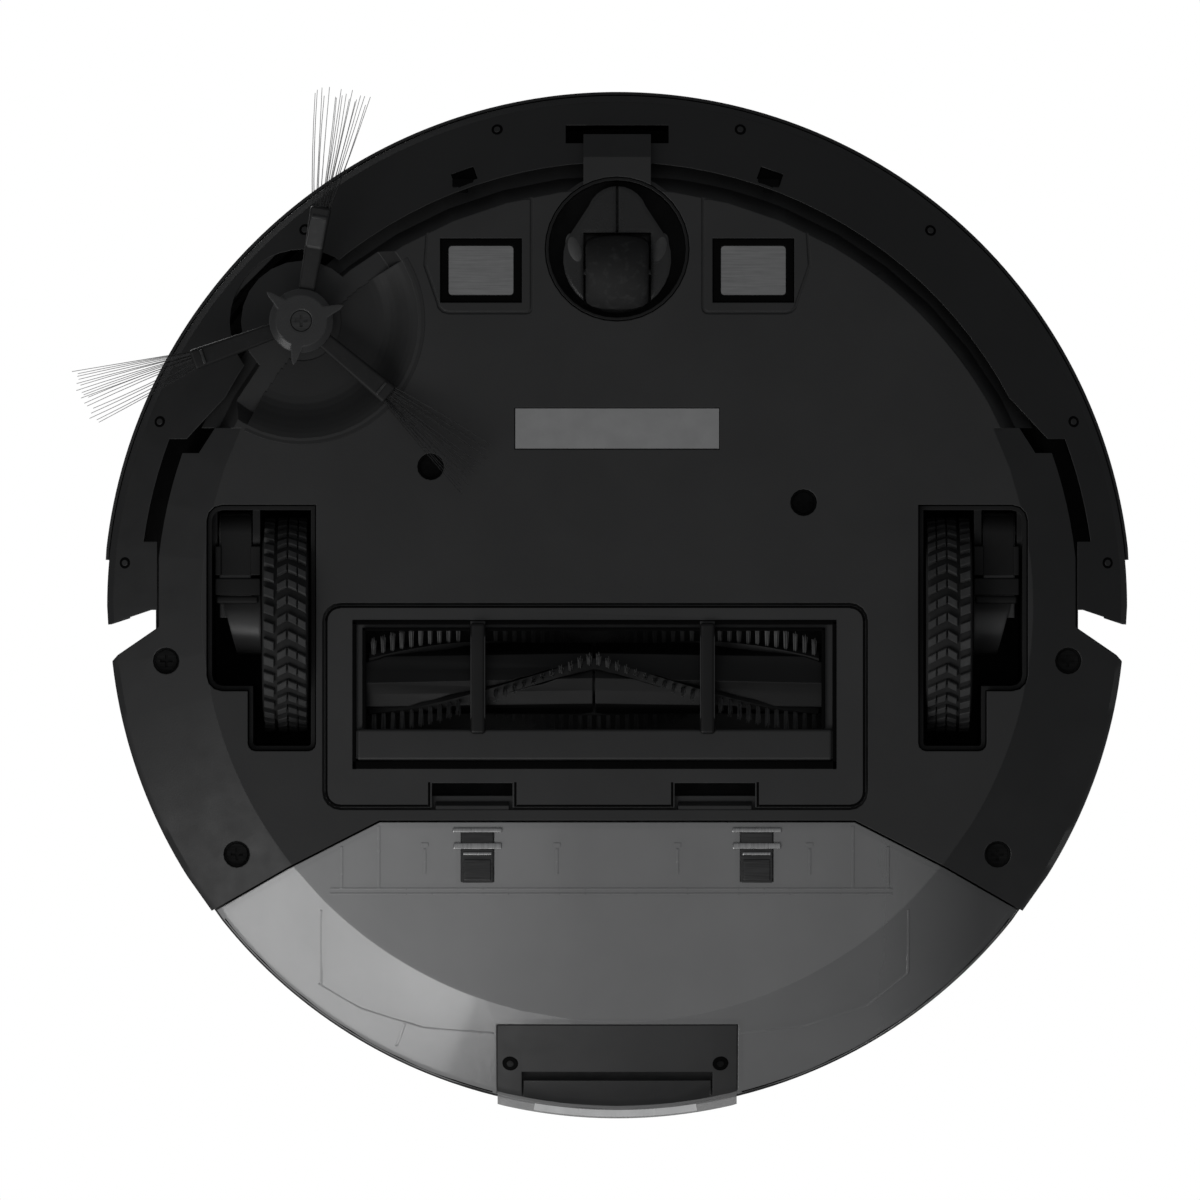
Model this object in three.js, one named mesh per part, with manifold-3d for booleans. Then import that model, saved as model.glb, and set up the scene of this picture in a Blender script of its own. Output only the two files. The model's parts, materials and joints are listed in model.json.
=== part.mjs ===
// Robot vacuum cleaner, as an assembly of its separate pieces.
// Millimetres, Z up, the floor at zero. The origin is on the floor under the centre of the round body.
// The front is towards -Y, and the machine's own left is towards +X.

import * as THREE from 'three';
import { mergeGeometries, mergeVertices } from 'three/addons/utils/BufferGeometryUtils.js';
import Module from 'manifold-3d';

const wasm = await Module();
wasm.setup();

// Clearances
const SEAT = 0.3;
const RUN = 0.6;
const OVER = 6;
const FAR = 220;

// Round body
const BUMPER_R = 163.7;
const SKIN = 1;
const REAR_STEP = 0.7;
const CHAMFER_RUN = 29.8;
const CLEARANCE = 9;
const CHAMFER_RISE = 13;
const EDGE_BLEND = 2;
const BODY_HEIGHT = 72;
const SPLIT_RISE = 35;
const WALL = 2.2;
const FLOOR = 2.4;
const TRAVEL = 3;
const LAP = 1.5;

// Bumper edge, front flanks and side notches, seen from below
const LIP_W = 21.5;
const RIM_SLOPE_W = 4.4;
const RIM_END_Y = -57;
const LIP_END_DEG = -28;
const SLOT_W = 15.2;
const SLOT_FRONT_Y = -53.5;
const SLOT_REAR_Y = -20.6;
const SLOT_IN = 10.5;
const FLANK_STEP = 1.8;
const TAB_W = 13.7;
const TAB_GAP = 5.5;
const NOTCH_DEPTH = 13.7;
const NOTCH_REAR_Y = 8.3;
const SLANT_STEP = 2.8;
const SLANT_Y = 15.7;
const END_INNER_Y = 1.3;
const END_OUTER_Y = 6.1;
const BUMPER_HEIGHT = 60;
const FLANGE = 6;
const SKIN_END_Y = -14.8;
const SKIN_LOW = 16;
const SKIN_HIGH = 53;
const WINDOW_SPAN_DEG = 46;
const WINDOW_LOW = 27;
const WINDOW_HIGH = 44;
const FRONT_SLOT_HALF = 16.5;
const FRONT_SLOT_IN = 9.6;
const FRONT_SLOT_DEPTH = 5.8;
const TONGUE_HALF = 10.8;
const TONGUE_GAP = 2.9;
const TONGUE_T = 1.6;
const CLIFF_IN = 17.6;
const CLIFF_DEG = 19.6;
const CLIFF_W = 7;
const CLIFF_D = 4;

// Top cover
const COVER_STEP = 3;
const RIM_HEIGHT = 11;
const RIM_T = 4;
const TOP_ROUND = 7;
const TOP_T = 2;
const DECK_MARGIN = 20;
const DECK_T = 1.5;
const DECK_EDGE = 0.6;
const POWER_Y = -102;
const HOME_Y = -76;
const BUTTON_R = 8.7;
const BUTTON_T = 2.6;
const BUTTON_STEM_R = 3;
const BUTTON_STEM = 5;
const BUTTON_TRAVEL = 1;

// Dust bin
const BIN_STEP = 1.5;
const BIN_FRONT_X = 76;
const BIN_FRONT_Y = 69.3;
const BIN_KNEE_X = 105;
const BIN_KNEE_Y = 84.1;
const BIN_EDGE_X = 129.5;
const BIN_EDGE_Y = 98.2;
const BIN_BODY_RISE = 39;
const BIN_LID_T = 12;
const BIN_WALL = 1.8;
const MOUTH_LEFT = -58;
const MOUTH_RIGHT = 44;
const MOUTH_LOW = 12;
const MOUTH_DROP = 7;
const RAMP_Y = 90.5;
const RAMP_HALF = 90;
const RAMP_T = 1.6;
const RAMP_GAP = 0.9;
const RIB_T = 1.4;
const FLAP_T = 1.2;
const FLAP_PIN_R = 1.3;
const FLAP_LUG = 2.2;
const BLOCK_HALF = 38.4;
const BLOCK_DEPTH = 27.2;
const BLOCK_STEP = 1;
const BLOCK_H = 17;
const BLOCK_ROOF = 1.4;
const RELEASE_HALF = 30;
const RELEASE_DEPTH = 9.3;
const RELEASE_TRAVEL = 2.2;
const SKIRT_PROUD = 3.1;
const SKIRT_LOW = 19.5;
const SKIRT_HIGH = 25;
const CLIP_X = 44.7;
const CLIP_W = 10.2;
const CLIP_FRONT_Y = 71.6;
const CLIP_REAR_Y = 88;
const CLIP_T = 1;
const FILTER_HALF = 52;
const FILTER_FRONT_Y = 84;
const FILTER_REAR_Y = 116;
const FILTER_H = 6;
const PLEATS = 16;
const PLEAT_WEB = 1.6;

// Brush bay, cover and main brush
const COVER_LEFT = -93.6;
const COVER_RIGHT = 79.5;
const COVER_FRONT = -0.2;
const COVER_REAR = 64.5;
const COVER_CORNER = 5;
const COVER_T = 2.4;
const OPEN_LEFT = -84.4;
const OPEN_RIGHT = 69.5;
const OPEN_FRONT = 5.1;
const OPEN_REAR = 51.7;
const LEDGE_SIDE = 3.4;
const LEDGE_FRONT = 2.6;
const LEDGE_T = 1;
const BAR_W = 4.7;
const BAR_LEFT_X = -44.6;
const BAR_RIGHT_X = 28.9;
const BAR_DROP = 2.1;
const SCRAPER_FRONT = 40;
const SCRAPER_REAR = 48.8;
const SCRAPER_T = 1.6;
const RAIL_T = 3.6;
const LATCH_W = 25.8;
const LATCH_LEFT_X = -46.4;
const LATCH_RIGHT_X = 31.3;
const LATCH_Y = 56.7;
const LATCH_ROOM = 1.2;
const LATCH_TAB = 2.6;
const LATCH_SUNK = 0.3;
const COVER_GAP = 0.8;
const BRUSH_Y = 23.2;
const BRUSH_RISE = 12.5;
const BRUSH_R = 18.5;
const BRUSH_HALF = 73.5;
const CORE_R = 11.4;
const FLUTE = 1.3;
const CORE_RIDGES = 8;
const CORE_LEAN_DEG = 8;
const JOURNAL_R = 3.2;
const JOURNAL = 5;
const BEARING_WALL = 3.2;
const COUPLING_R = 4.4;
const COUPLING_REACH = 4;
const PEG_R = 3.6;
const PEG = 5;
const STRIP_W = 3;
const STRIP_DEPTH = 2;
const STRIP_PROUD = 0.5;
const STRIPS = 3;
const STRIP_TWIST_DEG = 1.47;
const STRIP_START_DEG = -25.6;
const STRIP_STEPS = 14;
const TUFT_PITCH = 3;
const TUFT_W = 1;
const TUFT_LEAN_DEG = 4;
const BAR_GAP = 1.2;
const CHAMBER_ROOM = 1.6;

// Side brush
const HUB_X = -101.1;
const HUB_Y = -91.2;
const HUB_R = 10.3;
const HUB_LOW = 3.8;
const HUB_TOP = 12.6;
const HUB_CORE_R = 5.9;
const FLANGE_T = 2.1;
const RING_R = 9.7;
const RING_T = 2.4;
const ARM_START_DEG = -80;
const ARMS = 3;
const ARM_REACH = 37;
const ARM_W = 5.5;
const ARM_T = 2.2;
const ARM_DROP = 2.6;
const PRONG_REACH = 14.5;
const PRONG_W = 5;
const SWEEP_R = 76;
const SWEEP_LOW = 1.2;
const SIDE_STRANDS = 9;
const SIDE_STRAND_W = 0.5;
const SUB_TUFT_DEG = 4.4;
const SUB_TUFT_SPLIT_DEG = 8.6;
const BOWL_R = 37.5;
const BOWL_SLOPE = 4.5;
const BOWL_DEPTH = 5;
const BOSS_R = 19.5;
const SHAFT_R = 2.5;
const SIDE_SCREW_R = 3.2;
const SIDE_SCREW_T = 1.6;
const SIDE_MOTOR_R = 14;
const SIDE_MOTOR_H = 22;

// Caster
const CASTER_IN = 49.4;
const SOCKET_R = 22.9;
const SOCKET_T = 0.9;
const SOCKET_H = 21;
const WELL_WALL = 1.2;
const CASTER_WHEEL_R = 12;
const CASTER_WHEEL_W = 20.4;
const CASTER_TRAIL = 7.4;
const CASTER_GROOVE = 2.4;
const CASTER_AXLE_R = 1.6;
const CHEEK_T = 2.6;
const FORK_R = 17.3;
const FORK_NOSE_R = 9.7;
const FORK_NOSE_Y = -10.4;
const FORK_LOW = 8.6;
const STEM_R = 4;

// Drive wheels, for the machine's left side
const POCKET_IN = 96.4;
const POCKET_OUT = 131.5;
const POCKET_FRONT = -32.4;
const POCKET_REAR = 27.3;
const SLIM_OUT = 118.3;
const SLIM_REAR = 46.5;
const POCKET_RIM = 12;
const POCKET_CORNER = 5;
const HOUSING_WALL = 1.4;
const HOUSING_START = 3;
const WHEEL_R = 34.5;
const WHEEL_Y = 6;
const TYRE_IN = 98.9;
const TYRE_W = 14.8;
const TYRE_T = 6;
const TREAD = 1.5;
const LUGS = 30;
const LUG_LEAN_SHARE = 0.42;
const HUB_WEB = 3;
const HUB_RIM = 2;
const WHEEL_AXLE_R = 3;
const WHEEL_AXLE = 7;
const GEARBOX_IN = 114.4;
const GEARBOX_W = 13.8;
const GEARBOX_R = 11.8;
const GEARBOX_Y = 3.8;
const GEARBOX_TAPER = 6.2;
const PIVOT_Y = -23.5;
const PIVOT_Z = 24;
const PIVOT_BOSS_R = 6.6;
const PIVOT_PIN_R = 2.4;
const LUG_T = 2.4;
const LUG_R = 7.6;
const ARM_LINK_TOP = 36;

// Underside details
const CONTACT_X = 43.6;
const CONTACT_Y = -107.4;
const CONTACT_W = 20.7;
const CONTACT_D = 15.7;
const CONTACT_T = 1;
const RECESS_W = 26.2;
const RECESS_D = 20.6;
const RECESS_DEPTH = 2.4;
const PANEL_IN_X = 27;
const PANEL_OUT_X = 58;
const PANEL_WIDE_X = 62;
const PANEL_REAR_Y = -93.4;
const PANEL_KNEE_Y = -109;
const PANEL_FRONT_Y = -131;
const PANEL_CORNER = 4;
const GROOVE = 0.9;
const GROOVE_DEPTH = 0.5;
const LABEL_HALF = 32.6;
const LABEL_FRONT_Y = -63.2;
const LABEL_REAR_Y = -50.4;
const LABEL_T = 0.4;
const LABEL_RECESS = 0.8;
const SCREW_WELL_R = 4.3;
const SCREW_WELL_WALL = 1.5;
const SCREW_WELL_H = 17;
const SCREW_HEAD_R = 3.4;
const SCREW_HEAD_T = 2.4;
const SCREW_R = 1.5;
const SCREW_L = 10;
const SCREW_SUNK = 10;
const DRIVE_W = 0.9;
const DRIVE_L = 4;
const FRONT_SCREW_X = 59.7;
const LEFT_SCREW_Y = -33.1;
const RIGHT_SCREW_Y = -44.6;
const EDGE_SCREW_IN = 17.4;
const SIDE_SCREW_DEG = 6.94;
const REAR_SCREW_DEG = 33.13;

// Inner machinery
const BATTERY_X = 0;
const BATTERY_Y = -69.5;
const BATTERY_L = 102;
const BATTERY_W = 33;
const BATTERY_H = 21;
const CELL_LINE = 0.8;
const BOARD_T = 1.6;
const BOARD_L = 124;
const BOARD_W = 62;
const BOARD_Y = -48;
const BOARD_RISE = 31;
const POST_R = 3;
const POST_INSET = 6;
const BRUSH_MOTOR_W = 17;
const BRUSH_MOTOR_FRONT = 8;
const BRUSH_MOTOR_REAR = 56;
const BRUSH_MOTOR_H = 26;
const FAN_X = 14;
const FAN_Y = 26;
const FAN_R = 31;
const FAN_H = 24;
const FAN_WALL = 2;
const FAN_INLET_R = 13;
const FAN_BLADES = 8;
const IMPELLER_R = 25;
const IMPELLER_H = 11;
const BLADE_T = 1.2;
const IMPELLER_HUB_R = 6;
const VENT_SLOTS = 7;
const VENT_PITCH = 5;
const VENT_W = 2.2;
const VENT_LOW = 16;
const VENT_HIGH = 30;
const VENT_DEG = 24;

// Rounding steps
const CIRCLE = 56;
const INNER_CIRCLE = 36;
const ROUND = 24;
const SMALL_ROUND = 12;

// Worked out from the sizes above
const DEG = Math.PI / 180;
const REAR_R = BUMPER_R - REAR_STEP;
const FLAT_R = REAR_R - CHAMFER_RUN;
const LIP_R = BUMPER_R - LIP_W;
const SLOT_R = BUMPER_R - SLOT_IN;
const SLOT_INNER_X = SLOT_R - SLOT_W;
const TAB_R = SLOT_R - TAB_GAP;
const TAB_INNER_X = TAB_R - TAB_W;
const NOTCH_X = REAR_R - NOTCH_DEPTH;
const FLANK_X = NOTCH_X - FLANK_STEP;
const SLANT_X = REAR_R - SLANT_STEP;
const FRONT_SLOT_Y = FRONT_SLOT_IN - BUMPER_R;
const CASTER_Y = CASTER_IN - BUMPER_R;
const TONGUE_Y = FRONT_SLOT_Y + TONGUE_GAP;
const CLIFF_R = BUMPER_R - CLIFF_IN;
const CLIFF_X = CLIFF_R * Math.sin(CLIFF_DEG * DEG);
const CLIFF_Y = -CLIFF_R * Math.cos(CLIFF_DEG * DEG);
const COVER_FRONT_R = REAR_R - COVER_STEP;
const DECK_R = COVER_FRONT_R - DECK_MARGIN;
const BIN_R = REAR_R - BIN_STEP;
const BLOCK_FRONT_Y = BIN_R - BLOCK_DEPTH;
const BLOCK_R = BIN_R - BLOCK_STEP;
const RELEASE_Y = BIN_R - RELEASE_DEPTH;
const SKIRT_R = BIN_R + SKIRT_PROUD;
const UNDER = CLEARANCE;
const FLOOR_TOP = UNDER + FLOOR;
const CHAMFER_Z = UNDER + CHAMFER_RISE;
const SPLIT_Z = UNDER + SPLIT_RISE;
const BODY_TOP = UNDER + BODY_HEIGHT;
const BUMPER_TOP = UNDER + BUMPER_HEIGHT;
const MOUTH_HIGH = BIN_BODY_RISE - MOUTH_DROP;
const BIN_BODY_TOP = UNDER + BIN_BODY_RISE;
const BIN_TOP = BIN_BODY_TOP + SEAT + BIN_LID_T;
const BRUSH_Z = UNDER + BRUSH_RISE;
const BRUSH_X = (OPEN_LEFT + OPEN_RIGHT) / 2;
const CHAMFER_SLOPE = CHAMFER_RISE / (REAR_R - EDGE_BLEND - FLAT_R);
const edgePlace = (degrees) => [
  (REAR_R - EDGE_SCREW_IN) * Math.cos(degrees * DEG),
  (REAR_R - EDGE_SCREW_IN) * Math.sin(degrees * DEG),
];
const SCREW_PLACES = [
  [FRONT_SCREW_X, LEFT_SCREW_Y],
  [-FRONT_SCREW_X, RIGHT_SCREW_Y],
  edgePlace(SIDE_SCREW_DEG),
  edgePlace(180 - SIDE_SCREW_DEG),
  edgePlace(REAR_SCREW_DEG),
  edgePlace(180 - REAR_SCREW_DEG),
];

const finish = (color, roughness, metalness = 0) => (
  new THREE.MeshStandardMaterial({ color, roughness, metalness })
);
const DARK_PLASTIC = finish(0x232324, 0.55);
const BLACK_PLASTIC = finish(0x1a1a1b, 0.5);
const GLOSS_BLACK = finish(0x141416, 0.15);
const SMOKY_CLEAR = finish(0x5b5c5f, 0.12);
const RUBBER = finish(0x18181a, 0.85);
const SOFT_GREY = finish(0x8c8c8c, 0.6);
const BRISTLE = finish(0x26262a, 0.6);
const STEEL = finish(0xb4b5b8, 0.3, 0.9);
const CONTACT_METAL = finish(0x8e8f92, 0.35, 0.8);
const LABEL_GREY = finish(0x5d5d5d, 0.6);
const FILTER_WHITE = finish(0xd9d8d2, 0.9);
const BOARD_GREEN = finish(0x1d5a34, 0.5);
const BATTERY_BLUE = finish(0x2b3f66, 0.5);

// Shapes

const at = (x, y) => new THREE.Vector2(x, y);

function arc(cx, cy, radius, from, to, steps) {
  const points = [];
  for (let i = 0; i <= steps; i += 1) {
    const angle = (from + ((to - from) * i) / steps) * DEG;
    points.push(at(cx + radius * Math.cos(angle), cy + radius * Math.sin(angle)));
  }
  return points;
}

// A box corner rounded off, given by the angle at which its quarter turn starts.
function corner(x, y, radius, from) {
  const middle = (from + 45) * DEG;
  const inward = radius * Math.SQRT2;
  return arc(x - inward * Math.cos(middle), y - inward * Math.sin(middle), radius, from, from + 90, 3);
}

const angleAtY = (y, radius) => Math.asin(y / radius) / DEG;

// A right half, listed from front to rear, with its mirror image added.
function mirrored(half) {
  const back = half.filter((p) => p.x > SEAT).reverse();
  return [...half, ...back.map((p) => at(-p.x, p.y))];
}

// The outline moved outwards by a distance, or inwards where it is negative.
function moved(points, by, closed = true) {
  const count = points.length;
  return points.map((p, i) => {
    const before = closed || i > 0 ? points[(i + count - 1) % count] : null;
    const after = closed || i < count - 1 ? points[(i + 1) % count] : null;
    const sides = [[before, p], [p, after]].filter(([a, b]) => a && b);
    const normals = sides.map(([a, b]) => at(b.y - a.y, a.x - b.x).normalize());
    const first = normals[0];
    const last = normals[normals.length - 1];
    const share = by / (1 + first.dot(last));
    return at(p.x + (first.x + last.x) * share, p.y + (first.y + last.y) * share);
  });
}

function roundedBox(x0, x1, y0, y1, radius) {
  return [
    ...arc(x1 - radius, y1 - radius, radius, 0, 90, 4),
    ...arc(x0 + radius, y1 - radius, radius, 90, 180, 4),
    ...arc(x0 + radius, y0 + radius, radius, 180, 270, 4),
    ...arc(x1 - radius, y0 + radius, radius, 270, 360, 4),
  ];
}

function prism(points, z0, z1) {
  const geometry = new THREE.ExtrudeGeometry(new THREE.Shape(points), {
    depth: z1 - z0,
    bevelEnabled: false,
  });
  return geometry.translate(0, 0, z0);
}

// A profile drawn in Y and Z, pushed along X.
function sideways(points, x0, x1) {
  const geometry = prism(points, x0, x1);
  const turn = new THREE.Matrix4().makeBasis(
    new THREE.Vector3(0, 1, 0), new THREE.Vector3(0, 0, 1), new THREE.Vector3(1, 0, 0),
  );
  return geometry.applyMatrix4(turn);
}

function block(x0, x1, y0, y1, z0, z1) {
  const geometry = new THREE.BoxGeometry(x1 - x0, y1 - y0, z1 - z0);
  return geometry.translate((x0 + x1) / 2, (y0 + y1) / 2, (z0 + z1) / 2);
}

function rod(radius, z0, z1, x = 0, y = 0, steps = ROUND) {
  const geometry = new THREE.CylinderGeometry(radius, radius, z1 - z0, steps);
  return geometry.rotateX(90 * DEG).translate(x, y, (z0 + z1) / 2);
}

function crossRod(radius, x0, x1, y, z, steps = SMALL_ROUND) {
  const geometry = new THREE.CylinderGeometry(radius, radius, x1 - x0, steps);
  return geometry.rotateZ(90 * DEG).translate((x0 + x1) / 2, y, z);
}

// A profile of radius and height, turned about the upright axis.
function turned(points, steps = CIRCLE, x = 0, y = 0) {
  return new THREE.LatheGeometry(points, steps).rotateX(90 * DEG).translate(x, y, 0);
}

const turnedRing = (points, steps, x, y) => turned([...points, points[0]], steps, x, y);

// Rings of points joined into one closed skin. Every ring has as many points.
function lofted(rings) {
  const count = rings[0].length;
  const positions = rings.flat().flatMap((p) => [p.x, p.y, p.z]);
  const index = [];
  for (let r = 0; r + 1 < rings.length; r += 1) {
    for (let i = 0; i < count; i += 1) {
      const a = r * count + i;
      const b = r * count + ((i + 1) % count);
      index.push(a, b, b + count, a, b + count, a + count);
    }
  }
  const cap = THREE.ShapeUtils.triangulateShape(flatRing(rings[0]), []);
  const last = (rings.length - 1) * count;
  for (const [a, b, c] of cap) {
    index.push(a, c, b, last + a, last + b, last + c);
  }
  const geometry = new THREE.BufferGeometry();
  geometry.setAttribute('position', new THREE.Float32BufferAttribute(positions, 3));
  geometry.setIndex(index);
  return geometry;
}

// A ring of points seen along its own normal, for the triangles of an end.
function flatRing(ring) {
  const origin = ring[0];
  const normal = new THREE.Vector3();
  for (let i = 0; i < ring.length; i += 1) {
    normal.add(new THREE.Vector3().crossVectors(ring[i], ring[(i + 1) % ring.length]));
  }
  normal.normalize();
  const across = new THREE.Vector3().subVectors(ring[1], origin).normalize();
  const up = new THREE.Vector3().crossVectors(normal, across);
  return ring.map((p) => {
    const from = new THREE.Vector3().subVectors(p, origin);
    return at(from.dot(across), from.dot(up));
  });
}

// Solids: joined and cut bodies

function closed(geometry) {
  const plain = geometry.clone();
  plain.deleteAttribute('normal');
  plain.deleteAttribute('uv');
  const merged = mergeVertices(plain);
  const corners = merged.index.array;
  const triangles = [];
  for (let i = 0; i < corners.length; i += 3) {
    const [a, b, c] = [corners[i], corners[i + 1], corners[i + 2]];
    if (a !== b && b !== c && c !== a) triangles.push(a, b, c);
  }
  return new wasm.Manifold(new wasm.Mesh({
    numProp: 3,
    vertProperties: Float32Array.from(merged.attributes.position.array),
    triVerts: Uint32Array.from(triangles),
  }));
}

const toSolid = (shape) => (shape.isBufferGeometry ? closed(shape) : shape);

function join(...shapes) {
  return shapes.map(toSolid).reduce((whole, more) => whole.add(more));
}

function cut(body, ...tools) {
  return tools.map(toSolid).reduce((whole, tool) => whole.subtract(tool), toSolid(body));
}

function common(...shapes) {
  return shapes.map(toSolid).reduce((whole, more) => whole.intersect(more));
}

function geometryOf(shape) {
  const mesh = toSolid(shape).getMesh();
  const positions = [];
  for (let i = 0; i < mesh.vertProperties.length; i += mesh.numProp) {
    positions.push(mesh.vertProperties[i], mesh.vertProperties[i + 1], mesh.vertProperties[i + 2]);
  }
  const geometry = new THREE.BufferGeometry();
  geometry.setAttribute('position', new THREE.Float32BufferAttribute(positions, 3));
  geometry.setIndex(Array.from(mesh.triVerts));
  geometry.computeVertexNormals();
  return geometry;
}

// The same geometry on the machine's right side.
function flipped(geometry) {
  const copy = geometry.clone().scale(-1, 1, 1);
  const corners = Array.from(copy.index.array);
  for (let i = 0; i < corners.length; i += 3) {
    [corners[i + 1], corners[i + 2]] = [corners[i + 2], corners[i + 1]];
  }
  copy.setIndex(corners);
  return copy;
}

function piece(name, shape, material) {
  const geometry = shape.isBufferGeometry && shape.index ? shape : geometryOf(shape);
  const mesh = new THREE.Mesh(geometry, material);
  mesh.name = name;
  return mesh;
}

function placed(mesh, x, y, z) {
  mesh.position.set(x, y, z);
  return mesh;
}

// The machine's outlines

const bodyPath = (radius, top) => [
  at(0, UNDER),
  at(FLAT_R, UNDER),
  at(radius - EDGE_BLEND, CHAMFER_Z),
  at(radius, CHAMFER_Z + EDGE_BLEND),
  at(radius, top),
];
const bodySolid = (path, top, steps = CIRCLE) => turned([...path, at(0, top)], steps);
const lipHeight = (radius) => UNDER + (radius - FLAT_R) * CHAMFER_SLOPE;
const lipTop = (radius) => lipHeight(radius) + WALL * Math.hypot(1, CHAMFER_SLOPE);
const slantSlope = (SLANT_Y - NOTCH_REAR_Y) / (SLANT_X - NOTCH_X);
const chassisFlank = FLANK_X - RUN;
const tabFrontY = SLOT_FRONT_Y + TRAVEL + LAP;
const rearCorner = [at(SLANT_X, SLANT_Y), at(REAR_R - EDGE_BLEND / 2, SLANT_Y + EDGE_BLEND)];

const chassisPlan = mirrored([
  ...arc(0, TRAVEL + RUN, LIP_R - RUN, -90, LIP_END_DEG, 12),
  at(TAB_INNER_X, tabFrontY),
  ...arc(0, 0, TAB_R, angleAtY(tabFrontY, TAB_R), -Math.acos(chassisFlank / TAB_R) / DEG, 6),
  at(chassisFlank, NOTCH_REAR_Y - (NOTCH_X - chassisFlank) * slantSlope),
  ...rearCorner,
  at(FAR, SLANT_Y + OVER),
  at(FAR, FAR),
  at(0, FAR),
]);

// The chassis outline, bulging round the side brush motor and the caster well.
function chassisForm(by, z0, z1) {
  const caster = SOCKET_R + SEAT + WELL_WALL + Math.max(by, -WELL_WALL);
  return join(
    prism(moved(chassisPlan, by), z0, z1),
    rod(SIDE_MOTOR_R + RUN + WALL + by, z0, z1, HUB_X, HUB_Y),
    rod(caster, z0, z1, 0, CASTER_Y),
  );
}

const lipPlan = mirrored([
  ...arc(0, 0, LIP_R, -90, LIP_END_DEG, 20),
  at(SLOT_INNER_X, SLOT_FRONT_Y),
  ...arc(0, 0, SLOT_R, angleAtY(SLOT_FRONT_Y, SLOT_R), angleAtY(SLOT_REAR_Y, SLOT_R), 6),
  at(FLANK_X, SLOT_REAR_Y),
  at(FLANK_X, FAR),
  at(0, FAR),
]);

const coverPlan = mirrored([
  at(0, -FAR),
  at(FAR, -FAR),
  at(FAR, 0),
  at(NOTCH_X, 0),
  at(NOTCH_X, NOTCH_REAR_Y),
  ...rearCorner,
  at(FAR, SLANT_Y + OVER),
  at(FAR, FAR),
  at(0, FAR),
]);

const edgeReach = FAR - BIN_EDGE_X;
const edgeSlope = (BIN_EDGE_Y - BIN_KNEE_Y) / (BIN_EDGE_X - BIN_KNEE_X);
const binPlan = mirrored([
  at(0, BIN_FRONT_Y),
  at(BIN_FRONT_X, BIN_FRONT_Y),
  at(BIN_KNEE_X, BIN_KNEE_Y),
  at(FAR, BIN_EDGE_Y + edgeReach * edgeSlope),
  at(FAR, FAR),
  at(0, FAR),
]);

const pocketPlan = [
  at(POCKET_IN, POCKET_FRONT),
  ...corner(POCKET_OUT, POCKET_FRONT, POCKET_CORNER, 270),
  ...corner(POCKET_OUT, POCKET_REAR, POCKET_CORNER, 0),
  at(SLIM_OUT, POCKET_REAR),
  ...corner(SLIM_OUT, SLIM_REAR, POCKET_CORNER / 2, 0),
  ...corner(POCKET_IN, SLIM_REAR, POCKET_CORNER / 2, 90),
];
const otherSide = (points) => points.map((p) => at(-p.x, p.y)).reverse();

// Chassis base

const wellR = SOCKET_R + SEAT;
const ledgeZ = UNDER + COVER_T + SEAT;
const chamberTop = BRUSH_Z + BRUSH_R + CHAMBER_ROOM;
const chamberLeft = OPEN_LEFT - LAP;
const chamberRight = OPEN_RIGHT + LAP;
const chamberFront = BRUSH_Y - BRUSH_R - CHAMBER_ROOM;
const chamberRear = COVER_REAR - WALL - LAP;
const bayGap = RUN;

function chassisShell() {
  const path = bodyPath(REAR_R, SPLIT_Z);
  const outer = common(bodySolid(path, SPLIT_Z), chassisForm(0, 0, SPLIT_Z));
  const inner = moved(path, -FLOOR, false);
  inner[inner.length - 1].y = SPLIT_Z + OVER;
  const hollow = common(
    bodySolid(inner, SPLIT_Z + OVER, INNER_CIRCLE),
    chassisForm(-WALL, 0, SPLIT_Z + OVER),
  );
  return cut(outer, hollow);
}

function chassisTongue() {
  const back = CASTER_Y - wellR + OVER / 2;
  const lipY = -LIP_R;
  const low = (y) => lipHeight(-y) - SEAT - TONGUE_T;
  const top = (y) => lipHeight(-y) - SEAT;
  const profile = [
    at(back, UNDER + SEAT),
    at(back, top(lipY)),
    at(lipY, top(lipY)),
    at(TONGUE_Y, top(TONGUE_Y)),
    at(TONGUE_Y, low(TONGUE_Y)),
    at(lipY - TONGUE_T, UNDER + SEAT),
  ];
  return sideways(profile.reverse(), -TONGUE_HALF, TONGUE_HALF);
}

// The chassis's front edge slopes up and tucks in above the bumper's lip.
const edgeR = LIP_R - RUN;
const rimZ = lipTop(LIP_R) + RUN;
const tuckR = edgeR + TRAVEL + RUN + LAP;
const tuckZ = rimZ + (tuckR - edgeR) * CHAMFER_SLOPE;
const frontOnly = () => block(-FAR, FAR, -FAR, RIM_END_Y, 0, BODY_TOP);

function rimBand() {
  const slopeStart = edgeR - RIM_SLOPE_W;
  const ring = turnedRing([
    at(slopeStart - FLOOR, UNDER),
    at(slopeStart, UNDER),
    at(edgeR, rimZ),
    at(tuckR, tuckZ),
    at(tuckR, tuckZ + WALL),
    at(edgeR - WALL, rimZ + WALL),
    at(slopeStart - FLOOR, UNDER + FLOOR),
  ], 48, 0, TRAVEL + RUN);
  return common(ring, frontOnly());
}

// The room below the front edge.
function rimRoom() {
  const far = tuckR + OVER;
  const ring = turnedRing([
    at(edgeR - RIM_SLOPE_W, UNDER - OVER),
    at(far, UNDER - OVER),
    at(far, tuckZ + OVER * CHAMFER_SLOPE),
    at(edgeR, rimZ),
    at(edgeR - RIM_SLOPE_W, UNDER),
  ], 48, 0, TRAVEL + RUN);
  return common(ring, frontOnly());
}

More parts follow.
